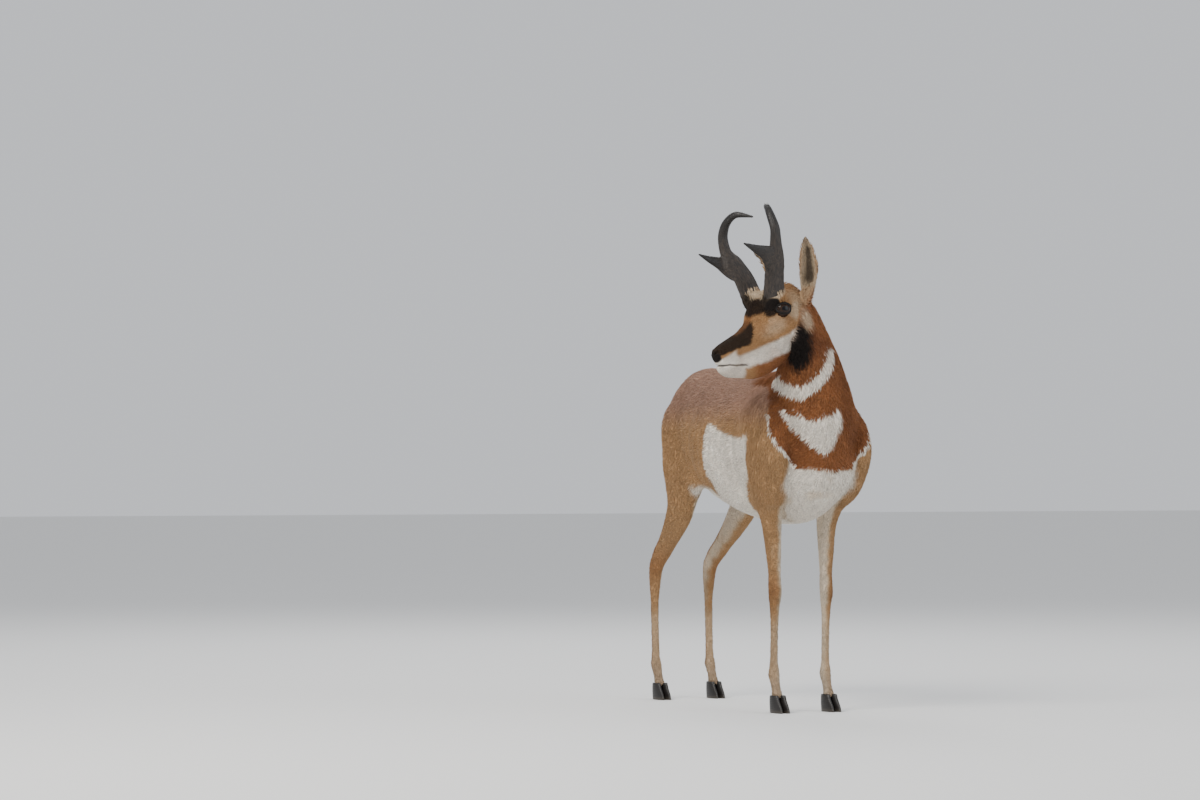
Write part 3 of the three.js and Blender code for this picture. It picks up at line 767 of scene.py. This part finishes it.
def head_colour(place):
    """The head's colours, laid out on the level head."""
    wobble = np.stack([wander(place.points, 9, seed) for seed in (11, 12, 13)], 1)
    x, y, z = (place.head + 2.2 * wobble).T
    x = np.abs(x)
    colour = np.tile(COLOURS["ochre"], (len(x), 1))
    paint = painter(colour)
    paint("orange", smooth(8, 34, z) * smooth(-60, -10, y) * 0.4)
    core = place.ratio[:, FORM_CORES].min(1)
    paint("cream", smooth(1.45, 1.05, core) * smooth(8, 30, z) * 0.75)
    paint("cream", 0.7 * spot(place.head, [0, 6, 34], [26, 20, 26], 0.4))
    paint("rust", smooth(-74, -100, z) * smooth(-150, -110, y))
    paint("cream", 0.45 * spot(place.head, [0, -28, -38], [70, 42, 20], 0.5))
    paint("orange", 0.35 * smooth(0.0, 0.9, wander(place.points, 22, 15)))
    paint("cream", smooth(20, 60, y) * smooth(26, 44, x) * 0.35)
    top = np.interp(y, [-215, -209, -143, -68, -4, 35], [-28, -30, -50, -66, -74, -70])
    bottom = np.interp(y, [-215, -170, -156, -81, -13, 35], [-140, -95, -80, -102, -113, -96])
    cheek = smooth(7, -5, z - top) * smooth(-7, 5, z - bottom) * smooth(40, 22, y)
    paint("white", cheek * (0.82 + 0.18 * wander(place.points, 16, 17)))
    paint("white", smooth(-150, -166, y) * smooth(-24, -32, z) * 0.9)
    # Darker along the jaw's underside: painted shade where the jaw turns away from the light, over its
    # rust.
    paint("deep", 0.35 * smooth(-118, -140, z) * (y < -20))

    # The dark saddle of the muzzle, the brow band, the bare skin before the eye and the nose.
    lower = np.interp(y, [-215, -205, -180, -120, -110], [-20, -17, -21, -36, -38])
    rear = np.interp(z, [-38, -7, 8, 20], [-112, -74, -58, -50])
    muzzle = smooth(-3, 3, z - lower) * smooth(5, -5, y - rear)
    paint("black", muzzle * 0.93)
    bridge = smooth(13, 5, x) * smooth(-140, -108, y) * smooth(-16, 4, z) * (y < -44)
    paint("orange", bridge * 0.85)
    band = smooth(-66, -56, y) * smooth(-6, -16, y) * smooth(2, 10, z)
    paint("black", band * 0.95)
    paint("black", 0.95 * spot(np.stack([x, y, z], 1), [48, -24, 4], [24, 19, 17], 0.25))
    paint("black", smooth(-196, -203, y) * smooth(-34, -28, z))
    lips = np.interp(y, MOUTH[:, 0], MOUTH[:, 1])
    paint("black", 0.9 * np.exp(-((z - lips) / 3.4) ** 2) * smooth(-137, -146, y))
    # Greyer under the chin: partly the chin's own grey-cream, partly painted shade on its underside.
    paint("grey", 0.35 * smooth(-150, -170, y) * smooth(-50, -64, z))
    for side in (1, -1):
        ring = over_eye(place.points, side)[0]
        near = np.linalg.norm(place.points - eye_frame(side)[0], axis=1) < 50
        pale_rim = smooth(2.6, 2.0, ring) * smooth(1.35, 1.6, ring)
        paint("cream", near * pale_rim * smooth(-10, -20, z) * 0.5)
        paint("black", near * smooth(1.62, 1.42, ring))
    return colour


def ear_colour(place):
    """The ears' colours: greyish tan backs, cream fronts with a dark pit, and dark tips."""
    colour = np.tile(COLOURS["side"], (len(place.points), 1))
    paint = painter(colour)
    for k, other in (FORM_EARS, FORM_EARS[::-1]):
        mine = place.ratio[:, k] < place.ratio[:, other]
        cup = smooth(0.15, -0.35, place.facing[:, k]) * mine
        pit = cup * smooth(1.0, 0.5, np.abs(place.side[:, k])) * smooth(0.18, 0.34, place.along[:, k])
        pit *= smooth(0.95, 0.8, place.along[:, k])
        tip = smooth(0.84, 0.95, place.along[:, k]) * mine
        paint("grey", 0.3 * mine)
        paint("cream", cup * 0.8)
        paint("black", pit * 0.8)
        paint("skin", tip * 0.6)
    return colour


def coat_colour(place):
    """Linear colours of the coat at the points, with its slow and fine variation."""
    colour = body_colour(place)
    colour += place.on_head[:, None] * (head_colour(place) - colour)
    colour += place.on_ear[:, None] * (ear_colour(place) - colour)
    shade = 1 + 0.10 * wander(place.points, 60, 21) + 0.08 * wander(place.points, 12, 22)
    return np.clip(colour * shade[:, None], 0.004, 0.95)


def point_colours(mesh, colours):
    """Stores one colour a point as the mesh's own attribute."""
    attribute = mesh.attributes.new("markings", "FLOAT_COLOR", "POINT")
    rows = np.concatenate([colours, np.ones((len(colours), 1))], 1)
    attribute.data.foreach_set("color", rows.astype(np.float32).ravel())


def triangles_of(mesh):
    """The points of each triangle of the mesh."""
    mesh.calc_loop_triangles()
    flat = np.empty(len(mesh.loop_triangles) * 3, np.int32)
    mesh.loop_triangles.foreach_get("vertices", flat)
    return flat.reshape(-1, 3)


skin_place = Place(positions(skin.data), normals_of(skin.data))
point_colours(skin.data, coat_colour(skin_place))
hide = Shader("coat_skin", COLOURS["side"], 0.85, Specular_IOR_Level=0.2)
own_place = hide.node("TexCoord", output=3)
marking = hide.node("Attribute", {"attribute_name": "markings"})
fine = hide.noise(own_place, 420.0)
darker = hide.node("Gamma", {}, {"Color": marking, "Gamma": 1.25})
hide.set("Base Color", hide.blend(fine.between(0.35, 0.65), marking, darker))
hide.relief(hide.noise(own_place, 700.0, 4.0), 0.5, 0.0012)
skin.data.materials.append(hide.material)

# The coat: short flat hair in thin three-sided tufts that overlap and lie along the body, from the nose
# back and from the trunk down each leg. They are smallest on the face and feet, longest on the nape,
# rump and tail. A tuft's root is sunk in the skin, and its colour is the skin's own at its root, with
# painted shade darkening it towards the root and painted light brightening its tip.
SEED = 2067
TUFT_COUNT = 144000
MOST = 19000  # tufts in one piece
TUFT_POINTS = 7
TUFT_FACES = np.array([[0, 1, 4], [0, 4, 3], [1, 2, 5], [1, 5, 4], [2, 0, 3], [2, 3, 5],
                       [3, 4, 6], [4, 5, 6], [5, 3, 6], [2, 1, 0]])
# Painted shade and light along each tuft: darker at the root where the tufts overlap, lighter at the tip.
TUFT_PAINTED_SHADE_AND_LIGHT = np.array([0.72, 0.72, 0.72, 0.95, 0.95, 1.0, 1.12])  # from the root's points to the tip
PATCH = 0.003  # side of a tuft's patch on its own map
PATCH_POINTS = PATCH * np.array([[0, 0], [1, 0], [0.5, 0], [0, 0.5], [1, 0.5], [0.5, 0.6], [0.5, 1]])


def rump_hair(points):
    """1 on the rump, where a pronghorn's hair is long and stands up when it is alarmed."""
    return spot(points, [0, 398, 700], [96, 66, 110], 0.2) * (points[:, 1] > 250)


def coat_sizes(place):
    """Length and width of the hair at the points, in millimetres."""
    x, y, z = place.points.T
    long = 12.5 + 2 * smooth(560, 800, z)
    leg = smooth(560, 440, z)
    long += leg * (7.5 - long)
    long += rump_hair(place.points) * (19 - long)
    muzzle = smooth(-60, -150, place.head[:, 1])
    long += place.on_head * (7.5 - 3.6 * muzzle - long)
    long += place.on_head * 7 * smooth(40, 90, place.head[:, 1]) * (1 - muzzle)
    core = np.maximum(*[smooth(1.3, 1.0, place.ratio[:, k]) for k in FORM_CORES])
    long += core * place.on_head * (14 - long)
    long += place.on_ear * (7 - long)
    tail = smooth(1.4, 1.1, place.ratio[:, FORM_TAIL]) * (y > 400)
    long += tail * (22 - long)
    return long, 0.8 + long * 0.105


def coat_lie(place, normals):
    """Unit directions in the skin along which the hair lies: the forms' own, weighed by nearness, and
    a little of straight down."""
    weight = np.exp(-6 * (place.ratio - place.ratio.min(1, keepdims=True)))
    lie = (place.lie * weight[:, :, None]).sum(1) / weight.sum(1, keepdims=True)
    lie += [0, 0, -0.3] * (1 - place.on_ear)[:, None]
    return unit(lie - (lie * normals).sum(1, keepdims=True) * normals)


def tufts(roots, normals, lie, long, wide, rise, draw, sink=1.0):
    """Points of one seven-point tuft at each root: a triangle at the root, another at two fifths of its
    length and a tip. It leaves the skin at the rise, in radians, and bends back to lie along it."""
    across = np.cross(normals, lie)
    swing = draw.normal(0, 0.16, (len(roots), 1))
    lie = unit(lie + across * swing)
    across = np.cross(normals, lie)
    out = np.tan(rise)[:, None]
    middle = roots + long[:, None] * 0.42 * (lie + normals * out)
    tip = roots + long[:, None] * (lie + normals * out * 0.62)
    half, thick = wide[:, None] * across / 2, wide[:, None] * normals * 0.22
    root = roots - normals * sink
    foot = [root - half * 0.8, root + half * 0.8, root + thick]
    return np.stack([*foot, middle - half, middle + half, middle + thick, tip], 1)


def tuft_piece(name, rows, colours, chart, material, draw):
    """One joined mesh of tufts, with its markings, painted root shade and tip light, and its map OFBake.

    Every tuft's patch lies at its root's place on an unwrap of the skin's own forms: one strip for each
    form, the place along it upwards and the angle round it across."""
    count = len(rows)
    mesh = bpy.data.meshes.new(name)
    mesh.vertices.add(count * TUFT_POINTS)
    mesh.vertices.foreach_set("co", (rows.reshape(-1, 3) * MM + ORIGIN).astype(np.float32).ravel())
    faces = (TUFT_FACES[None] + TUFT_POINTS * np.arange(count)[:, None, None]).reshape(-1, 3)
    mesh.loops.add(len(faces) * 3)
    mesh.loops.foreach_set("vertex_index", faces.astype(np.int32).ravel())
    mesh.polygons.add(len(faces))
    mesh.polygons.foreach_set("loop_start", np.arange(0, len(faces) * 3, 3, dtype=np.int32))
    shade_smooth(mesh)
    mesh.update(calc_edges=True)
    tone = draw.normal(1, 0.10, (count, 1, 1))
    # Each tuft's colour takes painted shade at its root and painted light at its tip.
    shaded = colours[:, None] * tone * TUFT_PAINTED_SHADE_AND_LIGHT[None, :, None]
    point_colours(mesh, np.clip(shaded, 0.003, 0.95).reshape(-1, 3))
    form, along, turn = chart
    used, strip = np.unique(form, return_inverse=True)
    low = np.array([along[form == k].min() for k in used])
    high = np.array([along[form == k].max() for k in used])
    u = (strip + 0.02 + 0.95 * turn) / len(used)
    v = 0.005 + 0.985 * (along - low[strip]) / np.maximum(high - low, 1e-6)[strip]
    spots = (np.stack([u, v], 1)[:, None] + PATCH_POINTS[None]).reshape(-1, 2)
    layer = mesh.uv_layers.new(name="OFBake")
    layer.data.foreach_set("uv", spots[faces.ravel()].astype(np.float32).ravel())
    mesh.materials.append(material)
    made = bpy.data.objects.new(name, mesh)
    bpy.context.scene.collection.objects.link(made)
    return made


def hair_shader(name, roughness):
    """Hair that takes its markings from its points, with fine streaks of light and dark."""
    made = Shader(name, COLOURS["side"], roughness, Specular_IOR_Level=0.18)
    marking = made.node("Attribute", {"attribute_name": "markings"})
    grain = made.noise(made.node("TexCoord", output=3), 900.0, 2.0)
    darker = made.node("Gamma", {}, {"Color": marking, "Gamma": 1.18})
    made.set("Base Color", made.blend(grain.between(0.4, 0.6), marking, darker))
    made.relief(grain, 0.25, 0.0006)
    return made.material


hair = hair_shader("coat_hair", 0.72)
draw = np.random.default_rng(SEED)
skin_points = positions(skin.data)
skin_normals = normals_of(skin.data)
triangles = triangles_of(skin.data)
corners = skin_points[triangles]
cross = np.cross(corners[:, 1] - corners[:, 0], corners[:, 2] - corners[:, 0])
area = np.linalg.norm(cross, axis=1) / 2
long, wide = coat_sizes(skin_place)
layers = 2.6 + 0.5 * skin_place.on_head

# No hair grows in the eyes, on the nose, between the lips and under the hooves' rims.
_, forward, upward = skin_place.head.T
in_eyes = np.zeros(len(skin_points), bool)
for side in (1, -1):
    edge, far, _ = over_eye(skin_points, side)
    in_eyes |= (far < 60) & (edge < 1.55)
in_lips = (np.abs(upward - np.interp(forward, MOUTH[:, 0], MOUTH[:, 1])) < 3.5) & (forward < -142)
bare = in_eyes | ((forward < -200) & (upward > -33)) | in_lips
layers[bare & (skin_place.on_head > 0.5) | (skin_points[:, 2] < HOOF_TOP - 3)] = 0
chance = area * (layers / (long * wide))[triangles].min(1)
picked = draw.choice(len(triangles), TUFT_COUNT, p=chance / chance.sum())
mix = draw.random((TUFT_COUNT, 2))
fold = mix.sum(1) > 1
mix[fold] = 1 - mix[fold]
mix = np.column_stack([1 - mix.sum(1), mix])


def on_skin(values):
    """The skin's values at the tufts' roots, mixed from the corners of the triangles they stand on."""
    return (values[triangles[picked]] * mix.reshape(mix.shape + (1,) * (values.ndim - 1))).sum(1)


roots = on_skin(skin_points)
root_normals = unit(on_skin(skin_normals))
root_place = Place(roots, root_normals)
root_long, root_wide = coat_sizes(root_place)
root_lie = coat_lie(root_place, root_normals)
root_long *= draw.uniform(0.8, 1.2, TUFT_COUNT)
rise = np.radians(15) * draw.uniform(0.5, 1.4, TUFT_COUNT)
rise += np.radians(7) * rump_hair(roots)
root_colours = coat_colour(root_place)
rows = tufts(roots, root_normals, root_lie, root_long, root_wide, rise, draw)
turn = np.arctan2(root_place.high, root_place.side) / (2 * np.pi) % 1.0
member = np.arange(TUFT_COUNT)
chart = (root_place.form, root_place.along[member, root_place.form], turn[member, root_place.form])

# The tufts by region, later rules over earlier ones.
on_form, reach_back = root_place.form, roots[:, 1]
region = np.full(TUFT_COUNT, "ribs", dtype="<U6")
region[reach_back < -120] = "chest"
region[reach_back > 160] = "haunch"
region[on_form == FORM_NECK] = "neck"
head_forms = (FORM_SKULL, FORM_JAW, *FORM_EARS, *FORM_CORES)
region[np.isin(on_form, head_forms) | (root_place.on_head > 0.5)] = "head"
region[np.isin(on_form, FORM_FORELEGS + FORM_HINDLEGS) & (roots[:, 2] < 520)] = "legs"
region[(on_form == FORM_TAIL) & (reach_back > 400)] = "haunch"
coat = []
for name in ("head", "neck", "chest", "ribs", "haunch", "legs"):
    chosen = np.where(region == name)[0]
    for part in range(-(-len(chosen) // MOST)):
        some = chosen[part * MOST:(part + 1) * MOST]
        chart_of_some = [values[some] for values in chart]
        coat.append(tuft_piece(f"coat_{name}_{part + 1}", rows[some], root_colours[some],
                               chart_of_some, hair, draw))

# The mane: longer dark hair, brown and rust, that stands along the nape from the withers to between the
# ears and leans back.
MANE = 620
run = draw.uniform(0.34, 0.985, MANE)
centre, ahead, high, side, half = stations(NECK, run, **UPRIGHT)
swing = draw.normal(0, 0.10, MANE)[:, None]
out = unit(high * np.cos(swing) + side * np.sin(swing))
mane_roots = centre + out * (half[:, 1:2] - 13)
mane_long = draw.uniform(34, 50, MANE) * (0.7 + 0.3 * smooth(0.34, 0.5, run))
mane_lie = unit(-ahead + out * (out * ahead).sum(1, keepdims=True))
mane_wide = draw.uniform(3.2, 5, MANE)
mane_rise = np.radians(draw.uniform(24, 44, MANE))
mane_rows = tufts(mane_roots, out, mane_lie, mane_long, mane_wide, mane_rise, draw, 3.0)
mane_colours = np.where(draw.random((MANE, 1)) < 0.62, COLOURS["skin"], COLOURS["rust"]) * 0.8
mane_chart = (np.zeros(MANE, int), run, 0.5 + swing[:, 0] * 0.9)
coat.append(tuft_piece("mane", mane_rows, mane_colours, mane_chart, hair, draw))

# The eyes: big dark wet balls set well to the side, each with a wide level pupil in a deep brown iris,
# between thick bare black lids. Stiff lashes stand out from the upper lid.
EYE_RINGS = 40
wet = Shader("eye_wet", (0.01, 0.007, 0.006), 0.2, Specular_IOR_Level=0.12, Coat_Weight=0.2,
             Coat_Roughness=0.02)
gaze = wet.node("Attribute", {"attribute_name": "gaze"}, {}, 2)
veins = wet.noise(wet.node("TexCoord", output=3), 380.0, 2.0)
iris = wet.blend(veins.between(0.3, 0.7), (0.012, 0.006, 0.004, 1), (0.035, 0.017, 0.009, 1))
wet.set("Base Color", wet.blend(gaze.between(0.62, 0.74), (0.003, 0.003, 0.004, 1), iris))
lid_skin = Shader("lid_skin", (0.009, 0.007, 0.006), 0.5, Specular_IOR_Level=0.2)
creases = lid_skin.noise(lid_skin.node("TexCoord", output=3), 520.0, 4.0)
lid_skin.relief(creases, 0.35, 0.0008)
lid_skin.set("Roughness", creases.between(0.2, 0.8) * 0.25 + 0.42)
EYE_ROUND = 64
LASHES = 26


def over_ball(flat, look, along, stand):
    """Directions from the eyeball's centre to the places that lie so far along and up over the ball."""
    far = np.linalg.norm(flat, axis=1, keepdims=True)
    way = flat / far
    return np.cos(far / EYE_R) * look + np.sin(far / EYE_R) * (way[:, :1] * along + way[:, 1:] * stand)


# A lid's section runs from its inner edge on the ball, over its rounded rim, out into the coat: how far
# out it is, 1 at the almond's edge, and how high over the ball.
LID_SECTION = [(0.92, -1.2), (0.97, 1.0), (1.03, 2.3), (1.13, 2.9), (1.28, 2.5), (1.44, 1.4),
               (1.62, -0.8)]
eyes, lids = {}, {}
fall = np.linspace(0.02, np.pi, EYE_RINGS)[:, None]
round_way = np.linspace(0, 2 * np.pi, EYE_ROUND, endpoint=False)
pupil = np.hypot(np.sin(fall) * np.cos(round_way) / 0.62, np.sin(fall) * np.sin(round_way) / 0.4)
almond_height = np.where(np.sin(round_way) > 0, ALMOND[2], ALMOND[1])
almond = np.stack([ALMOND[0] * np.cos(round_way), almond_height * np.sin(round_way)], 1)
for name, side in (("left", 1), ("right", -1)):
    middle, (look, level_way, stand) = eye_frame(side)
    ring = np.cos(round_way)[:, None] * level_way + np.sin(round_way)[:, None] * stand
    ball = middle + EYE_R * (np.cos(fall)[:, :, None] * look + np.sin(fall)[:, :, None] * ring[None])
    quads = tube_faces(EYE_RINGS, EYE_ROUND).reshape(-1, 4).tolist() + [list(range(EYE_ROUND))]
    eye = mesh_object(f"eyeball_{name}", ball.reshape(-1, 3), quads)
    shade_smooth(eye.data)
    stored = eye.data.attributes.new("gaze", "FLOAT", "POINT")
    stored.data.foreach_set("value", pupil.astype(np.float32).ravel())
    eye.data.materials.append(wet.material)
    eyes[name] = eye

    lid_rows = []
    for out, proud in LID_SECTION:
        brow = 1 + 0.5 * np.maximum(np.sin(round_way), 0)[:, None] * (proud > 0)
        direction = over_ball(almond * out, look, level_way, stand)
        lid_rows.append(middle + direction * (EYE_R + proud * brow))
    lid_faces = tube_faces(len(LID_SECTION), EYE_ROUND).reshape(-1, 4).tolist()
    lid = mesh_object(f"lids_{name}", np.concatenate(lid_rows), lid_faces)
    applied(lid, "SUBSURF", levels=1)
    shade_smooth(lid.data)
    lid.data.materials.append(lid_skin.material)
    lids[name] = lid

    reach = np.linspace(0.5, 2.6, LASHES) + draw.normal(0, 0.03, LASHES)
    flat = np.stack([ALMOND[0] * np.cos(reach), ALMOND[2] * np.sin(reach)], 1) * 1.1
    direction = over_ball(flat, look, level_way, stand)
    lash_roots = middle + direction * (EYE_R + 2.8)
    lash_way = unit(direction * 0.5 + look * 0.7 - stand * 0.45)
    lash_normal = unit(np.cross(np.cross(lash_way, direction), lash_way))
    lash_rows = tufts(lash_roots, lash_normal, lash_way, draw.uniform(8, 12, LASHES),
                      np.full(LASHES, 0.9), np.full(LASHES, 0.18), draw, 0.4)
    lash_colours = np.tile(COLOURS["black"] * 0.5, (LASHES, 1))
    lash_chart = (np.zeros(LASHES, int), np.linspace(0, 1, LASHES), np.full(LASHES, 0.5))
    coat.append(tuft_piece(f"lashes_{name}", lash_rows, lash_colours, lash_chart, hair, draw))

# The horns: black sheaths of fibrous keratin over a bony core. Each rises from the brow, throws a flat
# prong forwards and hooks in to a smooth worn tip; the lower half is rough with grown-over hair.
HORNS = {  # side, the hook's last two places, and how much lower the prong and the bend sit
    "left": (1, [[58, -46, 250], [30, -22, 256]], 0),
    "right": (-1, [[50, -46, 236], [14, -28, 226]], 20),
}
HORN_ROUTE_STEPS = 80
keratin = Shader("horn_keratin", (0.02, 0.015, 0.012), 0.5, Specular_IOR_Level=0.4)
fibre = keratin.node("Attribute", {"attribute_name": "fibre"}, {}, 1)
streaks = keratin.noise(fibre, 1.0, 5.0)
height = keratin.node("SeparateXYZ", {}, {"Vector": fibre}, 1)
brown = keratin.blend(streaks.between(0.3, 0.72), (0.010, 0.008, 0.007, 1), (0.050, 0.036, 0.027, 1))
keratin.set("Base Color", keratin.blend(height.between(9.0, 17.0), brown, (0.011, 0.009, 0.008, 1)))
keratin.set("Roughness", height.between(8.0, 20.0) * -0.22 + 0.56)
keratin.relief(streaks, 0.75, 0.0022)
horns = {}
for name, (side, hook, drop) in HORNS.items():
    beam = [
        [side * 40, -4, 26, 19, 31, 33], [side * 52, -14, 70, 16, 28, 31 + drop * 0.3],
        [side * 73, -30, 112, 14, 25, 28 + drop * 0.7], [side * 91, -46, 152 - drop / 2, 12, 17, 19],
        [side * 95, -52, 184 - drop / 2, 12, 14, 14], [side * 84, -54, 216 - drop / 2, 11, 12, 12],
        [side * hook[0][0], hook[0][1], hook[0][2] - 4, 9, 8, 8],
        [side * hook[1][0], *hook[1][1:], 4, 4, 4],
    ]
    prong = [
        [side * 74, -34, 120 - drop, 10, 30, 40], [side * 87, -76, 135 - drop, 8, 16, 24],
        [side * 85, -110, 143 - drop, 6, 8, 14], [side * 82, -142, 151 - drop, 3, 3.5, 4.5],
    ]
    beam_up, prong_up = (0, 1, 0), (side * 0.5, 0, 1)
    beam_points, beam_faces = swept(beam, 0.3, 48, 120, (8, 5), beam_up)
    prong_points, prong_faces = swept(prong, 0.3, 40, 60, (8, 6), prong_up)
    horn_faces = beam_faces + [[i + len(beam_points) for i in face] for face in prong_faces]
    horn_points = head_to_body(np.concatenate([beam_points, prong_points]), False)
    horn = mesh_object(f"horn_sheath_{name}", horn_points, horn_faces)
    applied(horn, "REMESH", mode="VOXEL", voxel_size=0.0019)
    points = positions(horn.data)
    level = body_to_head(points, False)
    from_notch = (level - [side * 80, -56, 122 - drop]) / [1, 1, 1.2]
    notch = np.exp(-(np.linalg.norm(from_notch, axis=1) / 34) ** 2)
    points = eased(points, edge_ends(horn.data), 0.35 + 0.5 * notch, 14)  # the notch is filled most
    move_to(horn.data, points)
    applied(horn, "DECIMATE", ratio=0.55)
    points = positions(horn.data)
    level = body_to_head(points, False)

    # Fibres run along the beam and the prong, and their coordinates change over from one to the other.
    routes = []
    for route, up in ((beam, beam_up), (prong, prong_up)):
        centre, _, high, across, half = stations(route, np.linspace(0, 1, HORN_ROUTE_STEPS), up)
        far = np.linalg.norm(level[:, None] - centre[None], axis=2)
        near = far.argmin(1)
        away = level - centre[near]
        routes.append((far.min(1) / half.mean(1)[near], near / (HORN_ROUTE_STEPS - 1),
                       (away * high[near]).sum(1), (away * across[near]).sum(1)))
    on_prong = smooth(-0.12, 0.12, routes[0][0] - routes[1][0])
    run = routes[0][1] * 22 * (1 - on_prong) + (8 + routes[1][1] * 12) * on_prong
    rows_across = [routes[0][k] * (1 - on_prong) + routes[1][k] * on_prong for k in (2, 3)]
    fibres = np.stack([rows_across[0] * 0.55, run, rows_across[1] * 0.55], 1)
    normals = normals_of(horn.data)
    rough = smooth(15, 2, run)
    ridge = wander(fibres * [1, 1.3, 1], 1.1, 5) * 0.55 + wander(level, 16, 6) * 1.1
    points += normals * (rough * ridge)[:, None]
    move_to(horn.data, points)
    stored = horn.data.attributes.new("fibre", "FLOAT_VECTOR", "POINT")
    stored.data.foreach_set("vector", fibres.astype(np.float32).ravel())
    shade_smooth(horn.data)
    horn.data.materials.append(keratin.material)
    horns[name] = horn

# The hooves: two narrow pointed claws on each foot, of hard black horn with fine growth rings, worn
# paler along the ground.
claw_horn = Shader("hoof_horn", (0.014, 0.012, 0.011), 0.4, Specular_IOR_Level=0.45)
rise_up = claw_horn.node("TexCoord", output=3)
level_up = claw_horn.node("SeparateXYZ", {}, {"Vector": rise_up}, 2)
growth = {"Vector": rise_up, "Scale": 70.0, "Distortion": 2.5}
rings = claw_horn.node("TexWave", {"bands_direction": "Z"}, growth)
worn = level_up.between(0.012, 0.0)
claw_horn.set("Base Color", claw_horn.blend(worn, (0.013, 0.011, 0.010, 1), (0.05, 0.042, 0.034, 1)))
claw_horn.set("Roughness", rings.between(0.0, 1.0) * 0.15 + 0.34)
claw_horn.relief(rings, 0.35, 0.0008)
CLAW_ROUND = 32
CLAW_APART = 10.2  # from the foot's middle to a claw's
GROUND_RIMS = ((0.5, 0.985), (0.0, 0.94))  # height and size of the last rings, round the worn edge
CLAW_RINGS = 16  # above those
claw_heights = np.linspace(HOOF_TOP - 0.5, 1.6, CLAW_RINGS)
claw_heights = np.append(claw_heights, [height for height, _ in GROUND_RIMS])
claw_sizes = np.append(np.ones(CLAW_RINGS), [size for _, size in GROUND_RIMS])
claw_sizes[0] = 0.93


def claw_mesh(name, x, y):
    """A claw on the ground at x and y: rings of a half-round front and a flatter heel, closed below."""
    route = [[x, y + 6, HOOF_TOP + 8, 8, 17, 15], [x, y + 4, HOOF_TOP - 12, 9, 21, 22],
             [x, y, 12, 9.5, 24, 33], [x, y - 2, -8, 9.5, 24, 38]]
    centre, _, _, _, half = stations(route, np.linspace(0, 1, 200), (0, 1, 0))
    angle = np.linspace(0, 2 * np.pi, CLAW_ROUND, endpoint=False)
    ring_points = []
    for height, size in zip(claw_heights, claw_sizes):
        index = np.abs(centre[:, 2] - height).argmin()
        heel = 1 - 0.28 * np.maximum(-np.sin(angle), 0) ** 2
        width = half[index, 0] * size * np.cos(angle) * heel
        depth = np.where(np.sin(angle) > 0, half[index, 1], half[index, 2]) * np.sin(angle) * size
        level = np.full(CLAW_ROUND, height)
        ring_points.append(np.stack([x + width, centre[index, 1] + depth, level], 1))
    rings = len(ring_points)
    step = np.arange(CLAW_ROUND)
    faces = tube_faces(rings, CLAW_ROUND).reshape(-1, 4).tolist()
    faces += [step.tolist(), (step[::-1] + (rings - 1) * CLAW_ROUND).tolist()]
    claw = mesh_object(name, np.concatenate(ring_points), faces)
    claw.data.polygons.foreach_set("use_smooth", [True] * (len(faces) - 2) + [False] * 2)
    claw.data.materials.append(claw_horn.material)
    return claw


claws = []
for leg, (foot_x, foot_y), back in (("fore", FORE_FOOT, 22), ("hind", HIND_FOOT, 33)):
    for name, side in (("left", 1), ("right", -1)):
        for half_name, offset in (("inner", -CLAW_APART), ("outer", CLAW_APART)):
            claw = claw_mesh(f"claw_{leg}_{name}_{half_name}", side * (foot_x + offset), foot_y - back)
            claws.append((claw, f"{leg}_hoof_{name}_{half_name}"))

# What rides on the body, and which of the solids each piece stands for.
own_pieces = ("horn", "eye")
solid_pieces = [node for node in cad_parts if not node.startswith(own_pieces) and "hoof" not in node]
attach(skin, "root")
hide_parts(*solid_pieces)
for name in ("left", "right"):
    own = (eyes[name], "eye", f"eye_{name}"), (horns[name], "horn", f"horn_{name}")
    for piece, slot, node in own:
        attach(piece, "root")
        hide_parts(node)
    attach(lids[name], "root")
for claw, node in claws:
    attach(claw, "root")
    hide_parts(node)
for piece in coat:
    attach(piece, "root")

# The floor: plain, pale and matt, as a studio's painted boards, and flat. It runs out far behind the
# buck to a level edge.
FLOOR_HALF = 40000  # millimetres
ground = Shader("floor_paint", (0.78, 0.78, 0.77), 0.9)
ground.relief(ground.noise(ground.node("TexCoord", output=3), 60.0, 2.0), 0.03, 0.002)
reach = FLOOR_HALF * np.array([[-1, -1, 0], [1, -1, 0], [1, 1, 0], [-1, 1, 0.0]])
floor = mesh_object("floor", reach, [[0, 1, 2, 3]])
floor.data.materials.append(ground.material)
